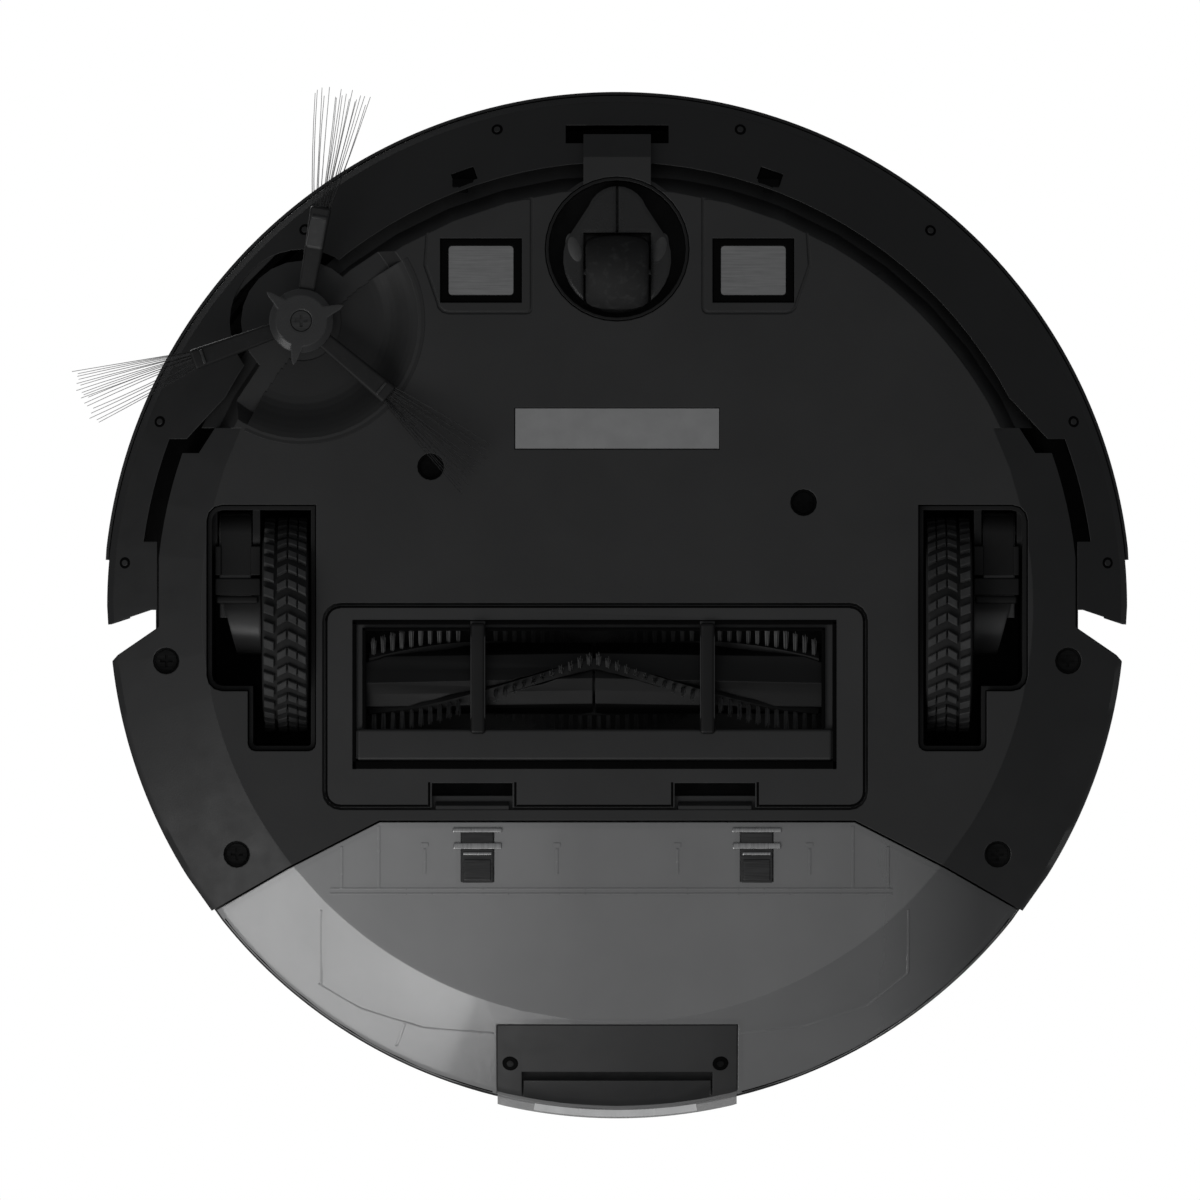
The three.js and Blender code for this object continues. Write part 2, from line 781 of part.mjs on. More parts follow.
function brushBay() {
  const rim = WALL + COVER_GAP;
  return join(
    block(
      COVER_LEFT - rim, COVER_RIGHT + rim, COVER_FRONT - rim, COVER_REAR + rim,
      UNDER, ledgeZ + FLOOR,
    ),
    block(
      chamberLeft - WALL, chamberRight + WALL, chamberFront - WALL, BIN_FRONT_Y - bayGap,
      UNDER, chamberTop + WALL,
    ),
  );
}

function brushBayCuts() {
  const gap = COVER_GAP;
  return [
    prism(
      roundedBox(
        COVER_LEFT - gap, COVER_RIGHT + gap, COVER_FRONT - gap, COVER_REAR + gap,
        COVER_CORNER + gap,
      ),
      UNDER - OVER, ledgeZ,
    ),
    block(chamberLeft, chamberRight, chamberFront, chamberRear, UNDER - OVER, chamberTop),
    block(
      MOUTH_LEFT, MOUTH_RIGHT, chamberRear - OVER, BIN_FRONT_Y + OVER,
      UNDER + MOUTH_LOW, UNDER + MOUTH_HIGH,
    ),
    ...[-1, 1].map((side) => journalSeat(side, RUN)),
  ];
}

// The fixed catches that stand in the brush cover's two cut-outs.
function latchTabs() {
  const half = LATCH_W / 2 - LATCH_ROOM;
  const back = COVER_REAR + COVER_GAP;
  return [LATCH_LEFT_X, LATCH_RIGHT_X].map((x) => sideways([
    at(back - LATCH_TAB, UNDER + COVER_T - LATCH_SUNK),
    at(back - LATCH_TAB / 2, UNDER + LATCH_SUNK),
    at(back + WALL, UNDER + LATCH_SUNK),
    at(back + WALL, ledgeZ + SEAT),
    at(back - LATCH_TAB, ledgeZ + SEAT),
  ], x - half, x + half));
}

// The round seat in the bay's end wall that carries an end of the main brush.
function journalSeat(side, room) {
  const wall = side < 0 ? chamberLeft - WALL - OVER : chamberRight - OVER;
  return crossRod(bearingR + room - SEAT, wall, wall + WALL + 2 * OVER, BRUSH_Y, BRUSH_Z, ROUND);
}

const bearingR = JOURNAL_R + BEARING_WALL;

function contactPanel(side) {
  const outline = [
    at(PANEL_IN_X, PANEL_FRONT_Y),
    at(PANEL_WIDE_X - LAP, PANEL_FRONT_Y),
    at(PANEL_WIDE_X, PANEL_KNEE_Y),
    ...corner(PANEL_OUT_X, PANEL_REAR_Y, PANEL_CORNER, 0),
    ...corner(PANEL_IN_X, PANEL_REAR_Y, PANEL_CORNER / 2, 90),
  ];
  const line = side > 0 ? outline : otherSide(outline);
  return cut(
    prism(line, UNDER - OVER, UNDER + GROOVE_DEPTH),
    prism(moved(line, -GROOVE), UNDER - 2 * OVER, UNDER + OVER),
  );
}

function contactRecess(side) {
  const x = side * CONTACT_X;
  return block(
    x - RECESS_W / 2, x + RECESS_W / 2, CONTACT_Y - RECESS_D / 2, CONTACT_Y + RECESS_D / 2,
    UNDER - OVER, UNDER + RECESS_DEPTH,
  );
}

function contactBack(side) {
  const x = side * CONTACT_X;
  const w = RECESS_W / 2 + WALL;
  const d = RECESS_D / 2 + WALL;
  return block(x - w, x + w, CONTACT_Y - d, CONTACT_Y + d, UNDER, UNDER + RECESS_DEPTH + FLOOR);
}

function sideBrushBowl() {
  return turned([
    at(0, UNDER - OVER),
    at(BOWL_R, UNDER - OVER),
    at(BOWL_R, UNDER),
    at(BOWL_R - BOWL_SLOPE, UNDER + BOWL_DEPTH),
    at(0, UNDER + BOWL_DEPTH),
  ], 36, HUB_X, HUB_Y);
}

const bossTop = UNDER + BOWL_DEPTH + FLOOR;
const bossReach = Math.hypot(HUB_X, HUB_Y) + BOSS_R;
const bossHigh = Math.max(bossTop, lipHeight(bossReach) + FLOOR);

function boardPosts() {
  const top = UNDER + BOARD_RISE;
  const places = [];
  for (const x of [-1, 1]) {
    for (const y of [-1, 1]) {
      places.push([
        x * (BOARD_L / 2 - POST_INSET),
        BOARD_Y + y * (BOARD_W / 2 - POST_INSET),
      ]);
    }
  }
  return places.map(([x, y]) => rod(POST_R, UNDER + FLOOR / 2, top - SEAT, x, y, SMALL_ROUND));
}

function chassisBase() {
  const path = bodyPath(REAR_R, SPLIT_Z);
  const bodyForm = bodySolid(path, SPLIT_Z);
  const binBay = (by) => prism(moved(binPlan, by), UNDER - OVER, SPLIT_Z + OVER);
  const bayWall = common(
    cut(prism(moved(binPlan, bayGap + WALL), UNDER, SPLIT_Z), binBay(bayGap)),
    bodyForm,
    chassisForm(0, 0, SPLIT_Z),
  );
  const rims = [pocketPlan, otherSide(pocketPlan)].map((plan) => (
    prism(moved(plan, WALL), UNDER, UNDER + POCKET_RIM)
  ));
  const wells = SCREW_PLACES.map(([x, y]) => (
    rod(SCREW_WELL_R + SCREW_WELL_WALL, UNDER + FLOOR / 2, UNDER + SCREW_WELL_H, x, y, SMALL_ROUND)
  ));
  const added = join(
    brushBay(),
    ...rims,
    ...wells,
    ...boardPosts(),
    ...[-1, 1].map(contactBack),
    rod(BOWL_R + WALL, UNDER, bossTop, HUB_X, HUB_Y, 36),
  );
  const whole = join(
    cut(chassisShell(), binBay(bayGap), rimRoom()),
    cut(common(added, bodyForm, chassisForm(0, 0, SPLIT_Z)), binBay(bayGap), rimRoom()),
    bayWall,
    rimBand(),
    common(rod(BOSS_R, UNDER, bossHigh, HUB_X, HUB_Y), bodyForm),
    common(rod(wellR + WELL_WALL, UNDER, UNDER + SOCKET_H, 0, CASTER_Y, 36), bodyForm),
    chassisTongue(),
  );
  return cut(
    join(cut(whole, ...brushBayCuts()), ...latchTabs()),
    ...[pocketPlan, otherSide(pocketPlan)].map((plan) => prism(plan, UNDER - OVER, SPLIT_Z)),
    ...[-1, 1].map(contactRecess),
    ...[-1, 1].map(contactPanel),
    sideBrushBowl(),
    rod(wellR, UNDER - OVER, SPLIT_Z, 0, CASTER_Y, 36),
    rod(SHAFT_R + RUN, UNDER, SPLIT_Z, HUB_X, HUB_Y, SMALL_ROUND),
    block(
      -LABEL_HALF - SEAT, LABEL_HALF + SEAT, LABEL_FRONT_Y - SEAT, LABEL_REAR_Y + SEAT,
      UNDER - OVER, UNDER + LABEL_RECESS,
    ),
    ...SCREW_PLACES.map(([x, y]) => (
      rod(SCREW_WELL_R, UNDER - OVER, UNDER + SCREW_SUNK + SCREW_HEAD_T + SEAT, x, y, 16)
    )),
    ...SCREW_PLACES.map(([x, y]) => (
      rod(SCREW_R + SEAT, UNDER, UNDER + SCREW_WELL_H + OVER, x, y, 8)
    )),
    ...vents(),
  );
}

function vents() {
  const slots = [];
  for (let i = 0; i < VENT_SLOTS; i += 1) {
    const share = i - (VENT_SLOTS - 1) / 2;
    const angle = VENT_DEG * DEG + (share * VENT_PITCH) / REAR_R;
    const slot = block(
      REAR_R - OVER, REAR_R + OVER, -VENT_W / 2, VENT_W / 2, UNDER + VENT_LOW, UNDER + VENT_HIGH,
    );
    slots.push(slot.rotateZ(angle));
  }
  return slots;
}

// Top cover, deck panel and buttons

const deckFloor = BODY_TOP - DECK_T - SEAT;
const coverCeiling = deckFloor - TOP_T;
const coverBottom = SPLIT_Z + SEAT;
const rimBottom = BODY_TOP - RIM_HEIGHT;

function buttonHoles(room, z0, z1) {
  return [POWER_Y, HOME_Y].map((y) => rod(BUTTON_R + room, z0, z1, 0, y));
}

function topCover() {
  const rearForm = turned([
    at(0, coverBottom),
    at(REAR_R, coverBottom),
    at(REAR_R, BODY_TOP - TOP_ROUND - EDGE_BLEND),
    at(REAR_R - TOP_ROUND / 4, BODY_TOP - TOP_ROUND / 2),
    at(REAR_R - TOP_ROUND, BODY_TOP),
    at(0, BODY_TOP),
  ]);
  const plate = turned([
    at(0, coverCeiling),
    at(COVER_FRONT_R - RIM_T - LAP, coverCeiling),
    at(COVER_FRONT_R - RIM_T, rimBottom),
    at(COVER_FRONT_R, rimBottom),
    at(COVER_FRONT_R, BODY_TOP - TOP_ROUND),
    at(COVER_FRONT_R - TOP_ROUND / 4, BODY_TOP - TOP_ROUND / 2),
    at(COVER_FRONT_R - TOP_ROUND, BODY_TOP),
    at(0, BODY_TOP),
  ]);
  const outer = common(rearForm, chassisForm(0, coverBottom, BODY_TOP));
  const hollow = common(
    turned([
      at(0, coverBottom - OVER),
      at(REAR_R - WALL, coverBottom - OVER),
      at(REAR_R - WALL, BODY_TOP - TOP_ROUND - EDGE_BLEND),
      at(REAR_R - WALL - TOP_ROUND, coverCeiling),
      at(0, coverCeiling),
    ], INNER_CIRCLE),
    chassisForm(-WALL, coverBottom - OVER, coverCeiling),
  );
  const binBay = (by, top) => prism(moved(binPlan, by), coverBottom - OVER, top);
  const bayTop = BIN_TOP + RUN;
  const bayWall = common(
    cut(prism(moved(binPlan, bayGap + WALL), coverBottom, bayTop + WALL), binBay(bayGap, bayTop)),
    rearForm,
    chassisForm(0, coverBottom, BODY_TOP),
  );
  const whole = join(
    cut(outer, hollow, binBay(bayGap, bayTop)),
    common(plate, prism(coverPlan, 0, BODY_TOP)),
    bayWall,
  );
  return cut(
    whole,
    rod(DECK_R + SEAT, deckFloor, BODY_TOP + OVER, 0, 0, CIRCLE),
    ...buttonHoles(RUN, coverCeiling - OVER, BODY_TOP),
    block(
      -FILTER_HALF + LAP, FILTER_HALF - LAP, FILTER_FRONT_Y + LAP, FILTER_REAR_Y - LAP,
      BIN_TOP, coverCeiling - OVER / 2,
    ),
  );
}

function deckPanel() {
  const disc = turned([
    at(0, deckFloor + SEAT),
    at(DECK_R, deckFloor + SEAT),
    at(DECK_R, BODY_TOP - DECK_EDGE),
    at(DECK_R - DECK_EDGE, BODY_TOP),
    at(0, BODY_TOP),
  ]);
  return cut(disc, ...buttonHoles(SEAT, deckFloor, BODY_TOP + OVER));
}

function button() {
  return turned([
    at(0, -BUTTON_STEM - BUTTON_T),
    at(BUTTON_STEM_R, -BUTTON_STEM - BUTTON_T),
    at(BUTTON_STEM_R, -BUTTON_T),
    at(BUTTON_R, -BUTTON_T),
    at(BUTTON_R, -DECK_EDGE),
    at(BUTTON_R - DECK_EDGE, 0),
    at(0, 0),
  ], ROUND);
}

// Bumper

const keepFront = [
  at(-FAR, -FAR),
  at(FAR, -FAR),
  at(FAR, END_OUTER_Y),
  at(BUMPER_R, END_OUTER_Y),
  at(NOTCH_X, END_INNER_Y),
  at(-NOTCH_X, END_INNER_Y),
  at(-BUMPER_R, END_OUTER_Y),
  at(-FAR, END_OUTER_Y),
];

const casterRelief = wellR + WELL_WALL + TRAVEL + RUN;
const bossRelief = BOSS_R + TRAVEL + RUN;

function bumperShell() {
  const outer = turned([
    ...bodyPath(BUMPER_R, BUMPER_TOP - EDGE_BLEND),
    at(BUMPER_R - EDGE_BLEND, BUMPER_TOP),
    at(0, BUMPER_TOP),
  ]);
  const inner = moved(bodyPath(BUMPER_R, BUMPER_TOP), -WALL, false);
  inner[inner.length - 1].y = BUMPER_TOP - WALL;
  return common(
    cut(
      outer,
      bodySolid(inner, BUMPER_TOP - WALL, INNER_CIRCLE),
      rod(BUMPER_R - FLANGE, CHAMFER_Z, BUMPER_TOP + OVER, 0, 0, INNER_CIRCLE),
      prism(lipPlan, 0, CHAMFER_Z + FLOOR),
      rod(casterRelief, 0, CHAMFER_Z, 0, CASTER_Y, 48),
      rod(bossRelief, 0, CHAMFER_Z, HUB_X, HUB_Y, 40),
      block(
        -FRONT_SLOT_HALF, FRONT_SLOT_HALF, FRONT_SLOT_Y, FRONT_SLOT_Y + FRONT_SLOT_DEPTH,
        UNDER, CHAMFER_Z + OVER,
      ),
      ...[-1, 1].map((side) => cliffWindow(side, SEAT, OVER)),
    ),
    prism(keepFront, 0, BUMPER_TOP),
  );
}

// A lens that stands through the sloping lip of the bumper.
function cliffWindow(side, room, reach) {
  const slope = Math.atan(CHAMFER_SLOPE);
  const height = lipHeight(Math.hypot(CLIFF_X, CLIFF_Y));
  const lens = block(
    -CLIFF_W / 2 - room, CLIFF_W / 2 + room, -CLIFF_D / 2 - room, CLIFF_D / 2 + room,
    SEAT - reach, WALL + reach,
  );
  const bearing = Math.atan2(side * CLIFF_X, -CLIFF_Y);
  return lens.rotateX(-slope).rotateZ(bearing).translate(side * CLIFF_X, CLIFF_Y, height);
}

function skinBand(z0, z1, from) {
  return cut(
    rod(BUMPER_R + SEAT + SKIN, z0, z1, 0, 0, CIRCLE),
    rod(BUMPER_R + SEAT, z0 - OVER, z1 + OVER, 0, 0, CIRCLE),
    block(-FAR, FAR, from, FAR, z0 - OVER, z1 + OVER),
  );
}

function windowSector(room) {
  const half = WINDOW_SPAN_DEG + room / (BUMPER_R * DEG);
  return prism(
    [at(0, 0), ...arc(0, 0, FAR, -90 - half, -90 + half, 12)],
    UNDER + WINDOW_LOW - room, UNDER + WINDOW_HIGH + room,
  );
}

const bumperSkin = () => cut(
  skinBand(UNDER + SKIN_LOW, UNDER + SKIN_HIGH, SKIN_END_Y),
  windowSector(SEAT),
);
const bumperWindow = () => common(
  skinBand(UNDER + SKIN_LOW, UNDER + SKIN_HIGH, SKIN_END_Y),
  windowSector(0),
);

// Dust bin

const blockPlan = mirrored([
  at(0, BLOCK_FRONT_Y),
  at(BLOCK_HALF, BLOCK_FRONT_Y),
  at(BLOCK_HALF, FAR),
  at(0, FAR),
]);
const blockTop = UNDER + BLOCK_H;
const mouthLow = UNDER + MOUTH_LOW;
const mouthHigh = UNDER + MOUTH_HIGH;
const flapHinge = mouthHigh + FLAP_PIN_R + RUN;
const binFloorTop = UNDER + BIN_WALL;

function binRamp() {
  const front = BIN_FRONT_Y + BIN_WALL + SEAT;
  const low = binFloorTop + RAMP_GAP;
  const plate = sideways([
    at(front, mouthLow - RAMP_T),
    at(RAMP_Y, low),
    at(RAMP_Y + RAMP_T, low),
    at(front, mouthLow),
  ], -RAMP_HALF, RAMP_HALF);
  const ribShares = [-0.95, -0.66, -0.21, 0.21, 0.66, 0.95];
  const ribs = ribShares.map((share) => sideways([
    at(front, binFloorTop + SEAT),
    at(RAMP_Y, binFloorTop + SEAT),
    at(RAMP_Y, low + RAMP_T / 2),
    at(front, mouthLow - RAMP_T / 2),
  ], share * RAMP_HALF - RIB_T / 2, share * RAMP_HALF + RIB_T / 2));
  const inside = BIN_WALL + SEAT;
  return cut(
    common(
      join(plate, ...ribs),
      prism(moved(binPlan, -inside), UNDER, mouthLow),
      bodySolid(moved(bodyPath(BIN_R, BIN_BODY_TOP), -inside, false), BIN_BODY_TOP),
    ),
    ...clipPads(SEAT),
  );
}

// The thicker places in the bin's floor under its two clips.
function clipPads(room) {
  const half = CLIP_W / 2 + BIN_WALL + room;
  return [-1, 1].map((side) => block(
    side * CLIP_X - half, side * CLIP_X + half,
    CLIP_FRONT_Y - BIN_WALL / 2 - room, CLIP_REAR_Y + BIN_WALL + room,
    UNDER, UNDER + 2 * SEAT + CLIP_T + BIN_WALL + room,
  ));
}

function clipSeat(side, room) {
  const x = side * CLIP_X;
  return block(
    x - CLIP_W / 2 - room, x + CLIP_W / 2 + room, CLIP_FRONT_Y - room, CLIP_REAR_Y + room,
    UNDER - (room ? OVER : -SEAT), UNDER + SEAT + CLIP_T + room,
  );
}

// The two lugs that carry the flap's pins.
function flapLugs() {
  const y = BIN_FRONT_Y + BIN_WALL / 2;
  const pinY = BIN_FRONT_Y + BIN_WALL + SEAT + FLAP_PIN_R;
  const reach = 2 * FLAP_PIN_R;
  return [-1, 1].map((side) => {
    const near = side < 0 ? MOUTH_LEFT - LAP - RUN - FLAP_LUG : MOUTH_RIGHT + LAP + RUN;
    return cut(
      block(near, near + FLAP_LUG, y, pinY + reach, flapHinge - reach, flapHinge + reach),
      crossRod(FLAP_PIN_R + SEAT, near - OVER, near + FLAP_LUG + OVER, pinY, flapHinge, 12),
    );
  });
}

function binBody() {
  const path = bodyPath(BIN_R, BIN_BODY_TOP);
  const form = common(bodySolid(path, BIN_BODY_TOP), prism(binPlan, 0, BIN_BODY_TOP));
  const inner = moved(path, -BIN_WALL, false);
  inner[inner.length - 1].y = BIN_BODY_TOP + OVER;
  const hollow = common(
    bodySolid(inner, BIN_BODY_TOP + OVER, INNER_CIRCLE),
    prism(moved(binPlan, -BIN_WALL), 0, BIN_BODY_TOP + OVER),
  );
  const housing = common(
    prism(moved(blockPlan, SEAT + BIN_WALL), UNDER, blockTop + SEAT + BIN_WALL),
    bodySolid(path, BIN_BODY_TOP),
  );
  const skirt = turnedRing([
    at(BIN_R - BIN_WALL, UNDER + SKIRT_LOW),
    at(SKIRT_R, UNDER + SKIRT_LOW),
    at(SKIRT_R, UNDER + SKIRT_HIGH),
    at(BIN_R - BIN_WALL, UNDER + SKIRT_HIGH),
  ]);
  return cut(
    join(
      cut(form, hollow),
      housing,
      ...flapLugs(),
      common(skirt, block(-BLOCK_HALF, BLOCK_HALF, 0, FAR, 0, BODY_TOP)),
      ...clipPads(0),
    ),
    prism(moved(blockPlan, SEAT), 0, blockTop + SEAT),
    block(MOUTH_LEFT, MOUTH_RIGHT, 0, BIN_FRONT_Y + BIN_WALL + SEAT, mouthLow, mouthHigh),
    ...[-1, 1].map((side) => clipSeat(side, SEAT)),
  );
}

const lidBottom = BIN_BODY_TOP + SEAT;

function binLid() {
  const form = common(
    turned([
      at(0, lidBottom),
      at(BIN_R, lidBottom),
      at(BIN_R, BIN_TOP - EDGE_BLEND),
      at(BIN_R - EDGE_BLEND, BIN_TOP),
      at(0, BIN_TOP),
    ]),
    prism(binPlan, 0, BIN_TOP),
  );
  return cut(
    form,
    block(
      -FILTER_HALF - SEAT, FILTER_HALF + SEAT, FILTER_FRONT_Y - SEAT, FILTER_REAR_Y + SEAT,
      BIN_TOP - FILTER_H - SEAT, BIN_TOP + OVER,
    ),
    block(
      -FILTER_HALF + LAP, FILTER_HALF - LAP, FILTER_FRONT_Y + LAP, FILTER_REAR_Y - LAP,
      0, BIN_TOP,
    ),
  );
}

function binFilter() {
  const points = [];
  const pitch = (2 * FILTER_HALF) / PLEATS;
  const low = BIN_TOP - FILTER_H;
  for (let i = 0; i <= PLEATS; i += 1) {
    points.push(at(-FILTER_HALF + i * pitch, i % 2 ? BIN_TOP - PLEAT_WEB : low + PLEAT_WEB));
  }
  const lower = points.map((p) => at(p.x, p.y - PLEAT_WEB)).reverse();
  const sheet = prism([...points, ...lower].reverse(), -FILTER_REAR_Y, -FILTER_FRONT_Y);
  return sheet.rotateX(90 * DEG);
}

function binFlap() {
  const y = BIN_FRONT_Y + BIN_WALL + SEAT;
  const centre = y + FLAP_PIN_R;
  const left = MOUTH_LEFT - LAP;
  const right = MOUTH_RIGHT + LAP;
  return join(
    block(left, right, y, y + FLAP_T, mouthLow + SEAT, flapHinge),
    crossRod(FLAP_PIN_R, left - LAP, right + LAP, centre, flapHinge),
  );
}

function latchBlock() {
  const form = common(
    bodySolid(bodyPath(BLOCK_R, blockTop), blockTop),
    prism(blockPlan, UNDER, blockTop),
  );
  return cut(form, releaseForm(RUN, RELEASE_TRAVEL + RUN));
}

function releaseForm(room, behind) {
  return block(
    -RELEASE_HALF - room, RELEASE_HALF + room, RELEASE_Y - behind, FAR,
    UNDER - OVER, blockTop - BLOCK_ROOF,
  );
}

function releaseButton() {
  return common(
    bodySolid(bodyPath(BLOCK_R, blockTop), blockTop),
    block(-RELEASE_HALF, RELEASE_HALF, RELEASE_Y, FAR, UNDER, blockTop - BLOCK_ROOF - SEAT),
  );
}

// Brush cover and scraper

function brushCover() {
  const outline = roundedBox(COVER_LEFT, COVER_RIGHT, COVER_FRONT, COVER_REAR, COVER_CORNER);
  const frameTop = UNDER + COVER_T;
  const frame = cut(
    prism(outline, UNDER, frameTop),
    block(OPEN_LEFT, OPEN_RIGHT, OPEN_FRONT, OPEN_REAR, 0, frameTop + OVER),
    ...[LATCH_LEFT_X, LATCH_RIGHT_X].map((x) => (
      block(x - LATCH_W / 2, x + LATCH_W / 2, LATCH_Y, FAR, 0, frameTop + OVER)
    )),
  );
  const ledge = cut(
    block(
      OPEN_LEFT - LEDGE_T, OPEN_RIGHT + LEDGE_T, OPEN_FRONT - LEDGE_T, SCRAPER_REAR,
      frameTop - LEDGE_T, frameTop,
    ),
    block(
      OPEN_LEFT + LEDGE_SIDE, OPEN_RIGHT - LEDGE_SIDE, OPEN_FRONT + LEDGE_FRONT, SCRAPER_FRONT,
      0, frameTop + OVER,
    ),
  );
  const bars = [BAR_LEFT_X, BAR_RIGHT_X].map(crossbar);
  const scraperSlot = block(
    OPEN_LEFT + LEDGE_SIDE - SEAT, OPEN_RIGHT - LEDGE_SIDE + SEAT,
    SCRAPER_FRONT + LAP - SEAT, SCRAPER_REAR - LAP + SEAT, 0, UNDER + SCRAPER_T + 2 * SEAT,
  );
  return cut(join(frame, ledge, scraperRail(), ...bars), scraperSlot);
}

// A guard across the window, bowed down below the frame.
function crossbar(x) {
  const low = UNDER - BAR_DROP;
  const front = OPEN_FRONT - LEDGE_T;
  const back = SCRAPER_FRONT + LAP;
  return sideways([
    at(front, UNDER),
    at(front + OVER, low),
    at(back - OVER, low),
    at(back, UNDER),
    at(back, UNDER + COVER_T),
    at(back - OVER, low + COVER_T),
    at(front + OVER, low + COVER_T),
    at(front, UNDER + COVER_T),
  ], x - BAR_W / 2, x + BAR_W / 2);
}

function scraperRail() {
  return block(OPEN_LEFT - LEDGE_T, OPEN_RIGHT + LEDGE_T, SCRAPER_FRONT, SCRAPER_REAR,
    UNDER, UNDER + RAIL_T);
}

function scraperStrip() {
  return block(
    OPEN_LEFT + LEDGE_SIDE, OPEN_RIGHT - LEDGE_SIDE, SCRAPER_FRONT + LAP, SCRAPER_REAR - LAP,
    UNDER + SEAT, UNDER + SEAT + SCRAPER_T,
  );
}

// Main brush: built about its own axis, along X

const stripInner = CORE_R - FLUTE - STRIP_DEPTH;
const stripOuter = CORE_R + STRIP_PROUD;
const around = (x, radius, angle) => (
  new THREE.Vector3(x, radius * Math.sin(angle), -radius * Math.cos(angle))
);
const stripAngle = (x, row) => (
  (STRIP_START_DEG + (row * 360) / STRIPS + STRIP_TWIST_DEG * Math.abs(x)) * DEG
);

function brushCore() {
  const ring = (x, lean) => {
    const points = [];
    for (let i = 0; i < 2 * CORE_RIDGES; i += 1) {
      const angle = (i * Math.PI) / CORE_RIDGES + lean;
      points.push(around(x, i % 2 ? CORE_R - FLUTE : CORE_R, angle));
    }
    return points;
  };
  const lean = CORE_LEAN_DEG * DEG;
  const body = lofted([ring(-BRUSH_HALF, lean), ring(0, 0), ring(BRUSH_HALF, lean)]);
  const journal = crossRod(JOURNAL_R, -BRUSH_HALF - JOURNAL, 0, 0, 0);
  const socket = crossRod(PEG_R + SEAT, BRUSH_HALF - PEG - SEAT, BRUSH_HALF + OVER, 0, 0, 6);
  const grooves = rows().map((row) => stripForm(row, SEAT));
  const split = cut(
    crossRod(BRUSH_R, -GROOVE / 2, GROOVE / 2, 0, 0, ROUND),
    crossRod(stripInner, -GROOVE, GROOVE, 0, 0, ROUND),
  );
  return cut(join(body, journal), ...grooves, split, socket);
}

const rows = () => Array.from({ length: STRIPS }, (_, row) => row);
const stripHalf = BRUSH_HALF - LAP;

// The backing of one chevron row, or the groove it sits in when room is given.
function stripForm(row, room) {
  const stations = [];
  for (let i = 0; i <= STRIP_STEPS; i += 1) {
    stations.push(stripHalf * ((2 * i) / STRIP_STEPS - 1));
  }
  if (room) {
    stations.unshift(-stripHalf - OVER);
    stations.push(stripHalf + OVER);
  }
  const low = stripInner - room;
  const high = stripOuter + 2 * room;
  const half = STRIP_W / 2 + room;
  return lofted(stations.map((x) => {
    const middle = stripAngle(x, row);
    return [
      around(x, low, middle + half / low),
      around(x, low, middle - half / low),
      around(x, high, middle - half / high),
      around(x, high, middle + half / high),
    ];
  }));
}

const clearOfBars = (x) => (
  [BAR_LEFT_X, BAR_RIGHT_X].every((bar) => Math.abs(x + BRUSH_X - bar) > BAR_W / 2 + BAR_GAP)
);

// One three-sided strand from a base point to a tip.
function strand(base, tip, width, side) {
  const along = new THREE.Vector3().subVectors(tip, base).normalize();
  const across = new THREE.Vector3().crossVectors(along, side).normalize();
  const up = new THREE.Vector3().crossVectors(across, along);
  const corners = [0, 1, 2].map((i) => {
    const angle = (i * 2 * Math.PI) / 3;
    return base.clone()
      .addScaledVector(across, (width / 2) * Math.cos(angle))
      .addScaledVector(up, (width / 2) * Math.sin(angle));
  });
  const points = [...corners, tip];
  const geometry = new THREE.BufferGeometry();
  const flat = points.flatMap((p) => [p.x, p.y, p.z]);
  geometry.setAttribute('position', new THREE.Float32BufferAttribute(flat, 3));
  geometry.setIndex([0, 1, 2, 0, 3, 1, 1, 3, 2, 2, 3, 0]);
  const turn = new THREE.Vector3().crossVectors(
    new THREE.Vector3().subVectors(corners[1], corners[0]),
    new THREE.Vector3().subVectors(corners[2], corners[0]),
  );
  if (turn.dot(along) > 0) {
    geometry.setIndex([0, 2, 1, 0, 1, 3, 1, 2, 3, 2, 0, 3]);
  }
  return geometry;
}

function brushStrip(row) {
  const strands = [];
  const count = Math.floor((2 * (stripHalf - TUFT_W)) / TUFT_PITCH);
  for (let i = 0; i <= count; i += 1) {
    const x = (i - count / 2) * TUFT_PITCH;
    if (clearOfBars(x)) {
      for (const lean of [-1, 1]) {
        const angle = stripAngle(x, row);
        const base = around(x, stripOuter - STRIP_PROUD, angle + lean * (TUFT_W * 0.5) / stripOuter);
        const tip = around(x, BRUSH_R, angle + lean * TUFT_LEAN_DEG * DEG);
        strands.push(strand(base, tip, TUFT_W * 0.8, new THREE.Vector3(1, 0, 0)));
      }
    }
  }
  return join(stripForm(row, 0), mergeGeometries(strands));
}

function brushBearing() {
  const inner = chamberLeft;
  return turnedRing([
    at(JOURNAL_R + SEAT, 0),
    at(bearingR, 0),
    at(bearingR, JOURNAL),
    at(JOURNAL_R + SEAT, JOURNAL),
  ], ROUND).rotateY(90 * DEG).translate(inner - WALL - SEAT - BRUSH_X, 0, 0);
}

function brushCoupling() {
  const wallX = chamberRight - BRUSH_X;
  return join(
    crossRod(PEG_R, BRUSH_HALF - PEG, BRUSH_HALF + WALL, 0, 0, 6),
    crossRod(bearingR - SEAT, BRUSH_HALF + SEAT, wallX - SEAT, 0, 0, ROUND),
    crossRod(COUPLING_R, BRUSH_HALF + WALL, wallX + WALL + SEAT + COUPLING_REACH, 0, 0, ROUND),
  );
}

// Side brush: built about its own axis

const gripLow = HUB_LOW + FLANGE_T;
const gripHigh = gripLow + RING_T + 2 * SEAT;

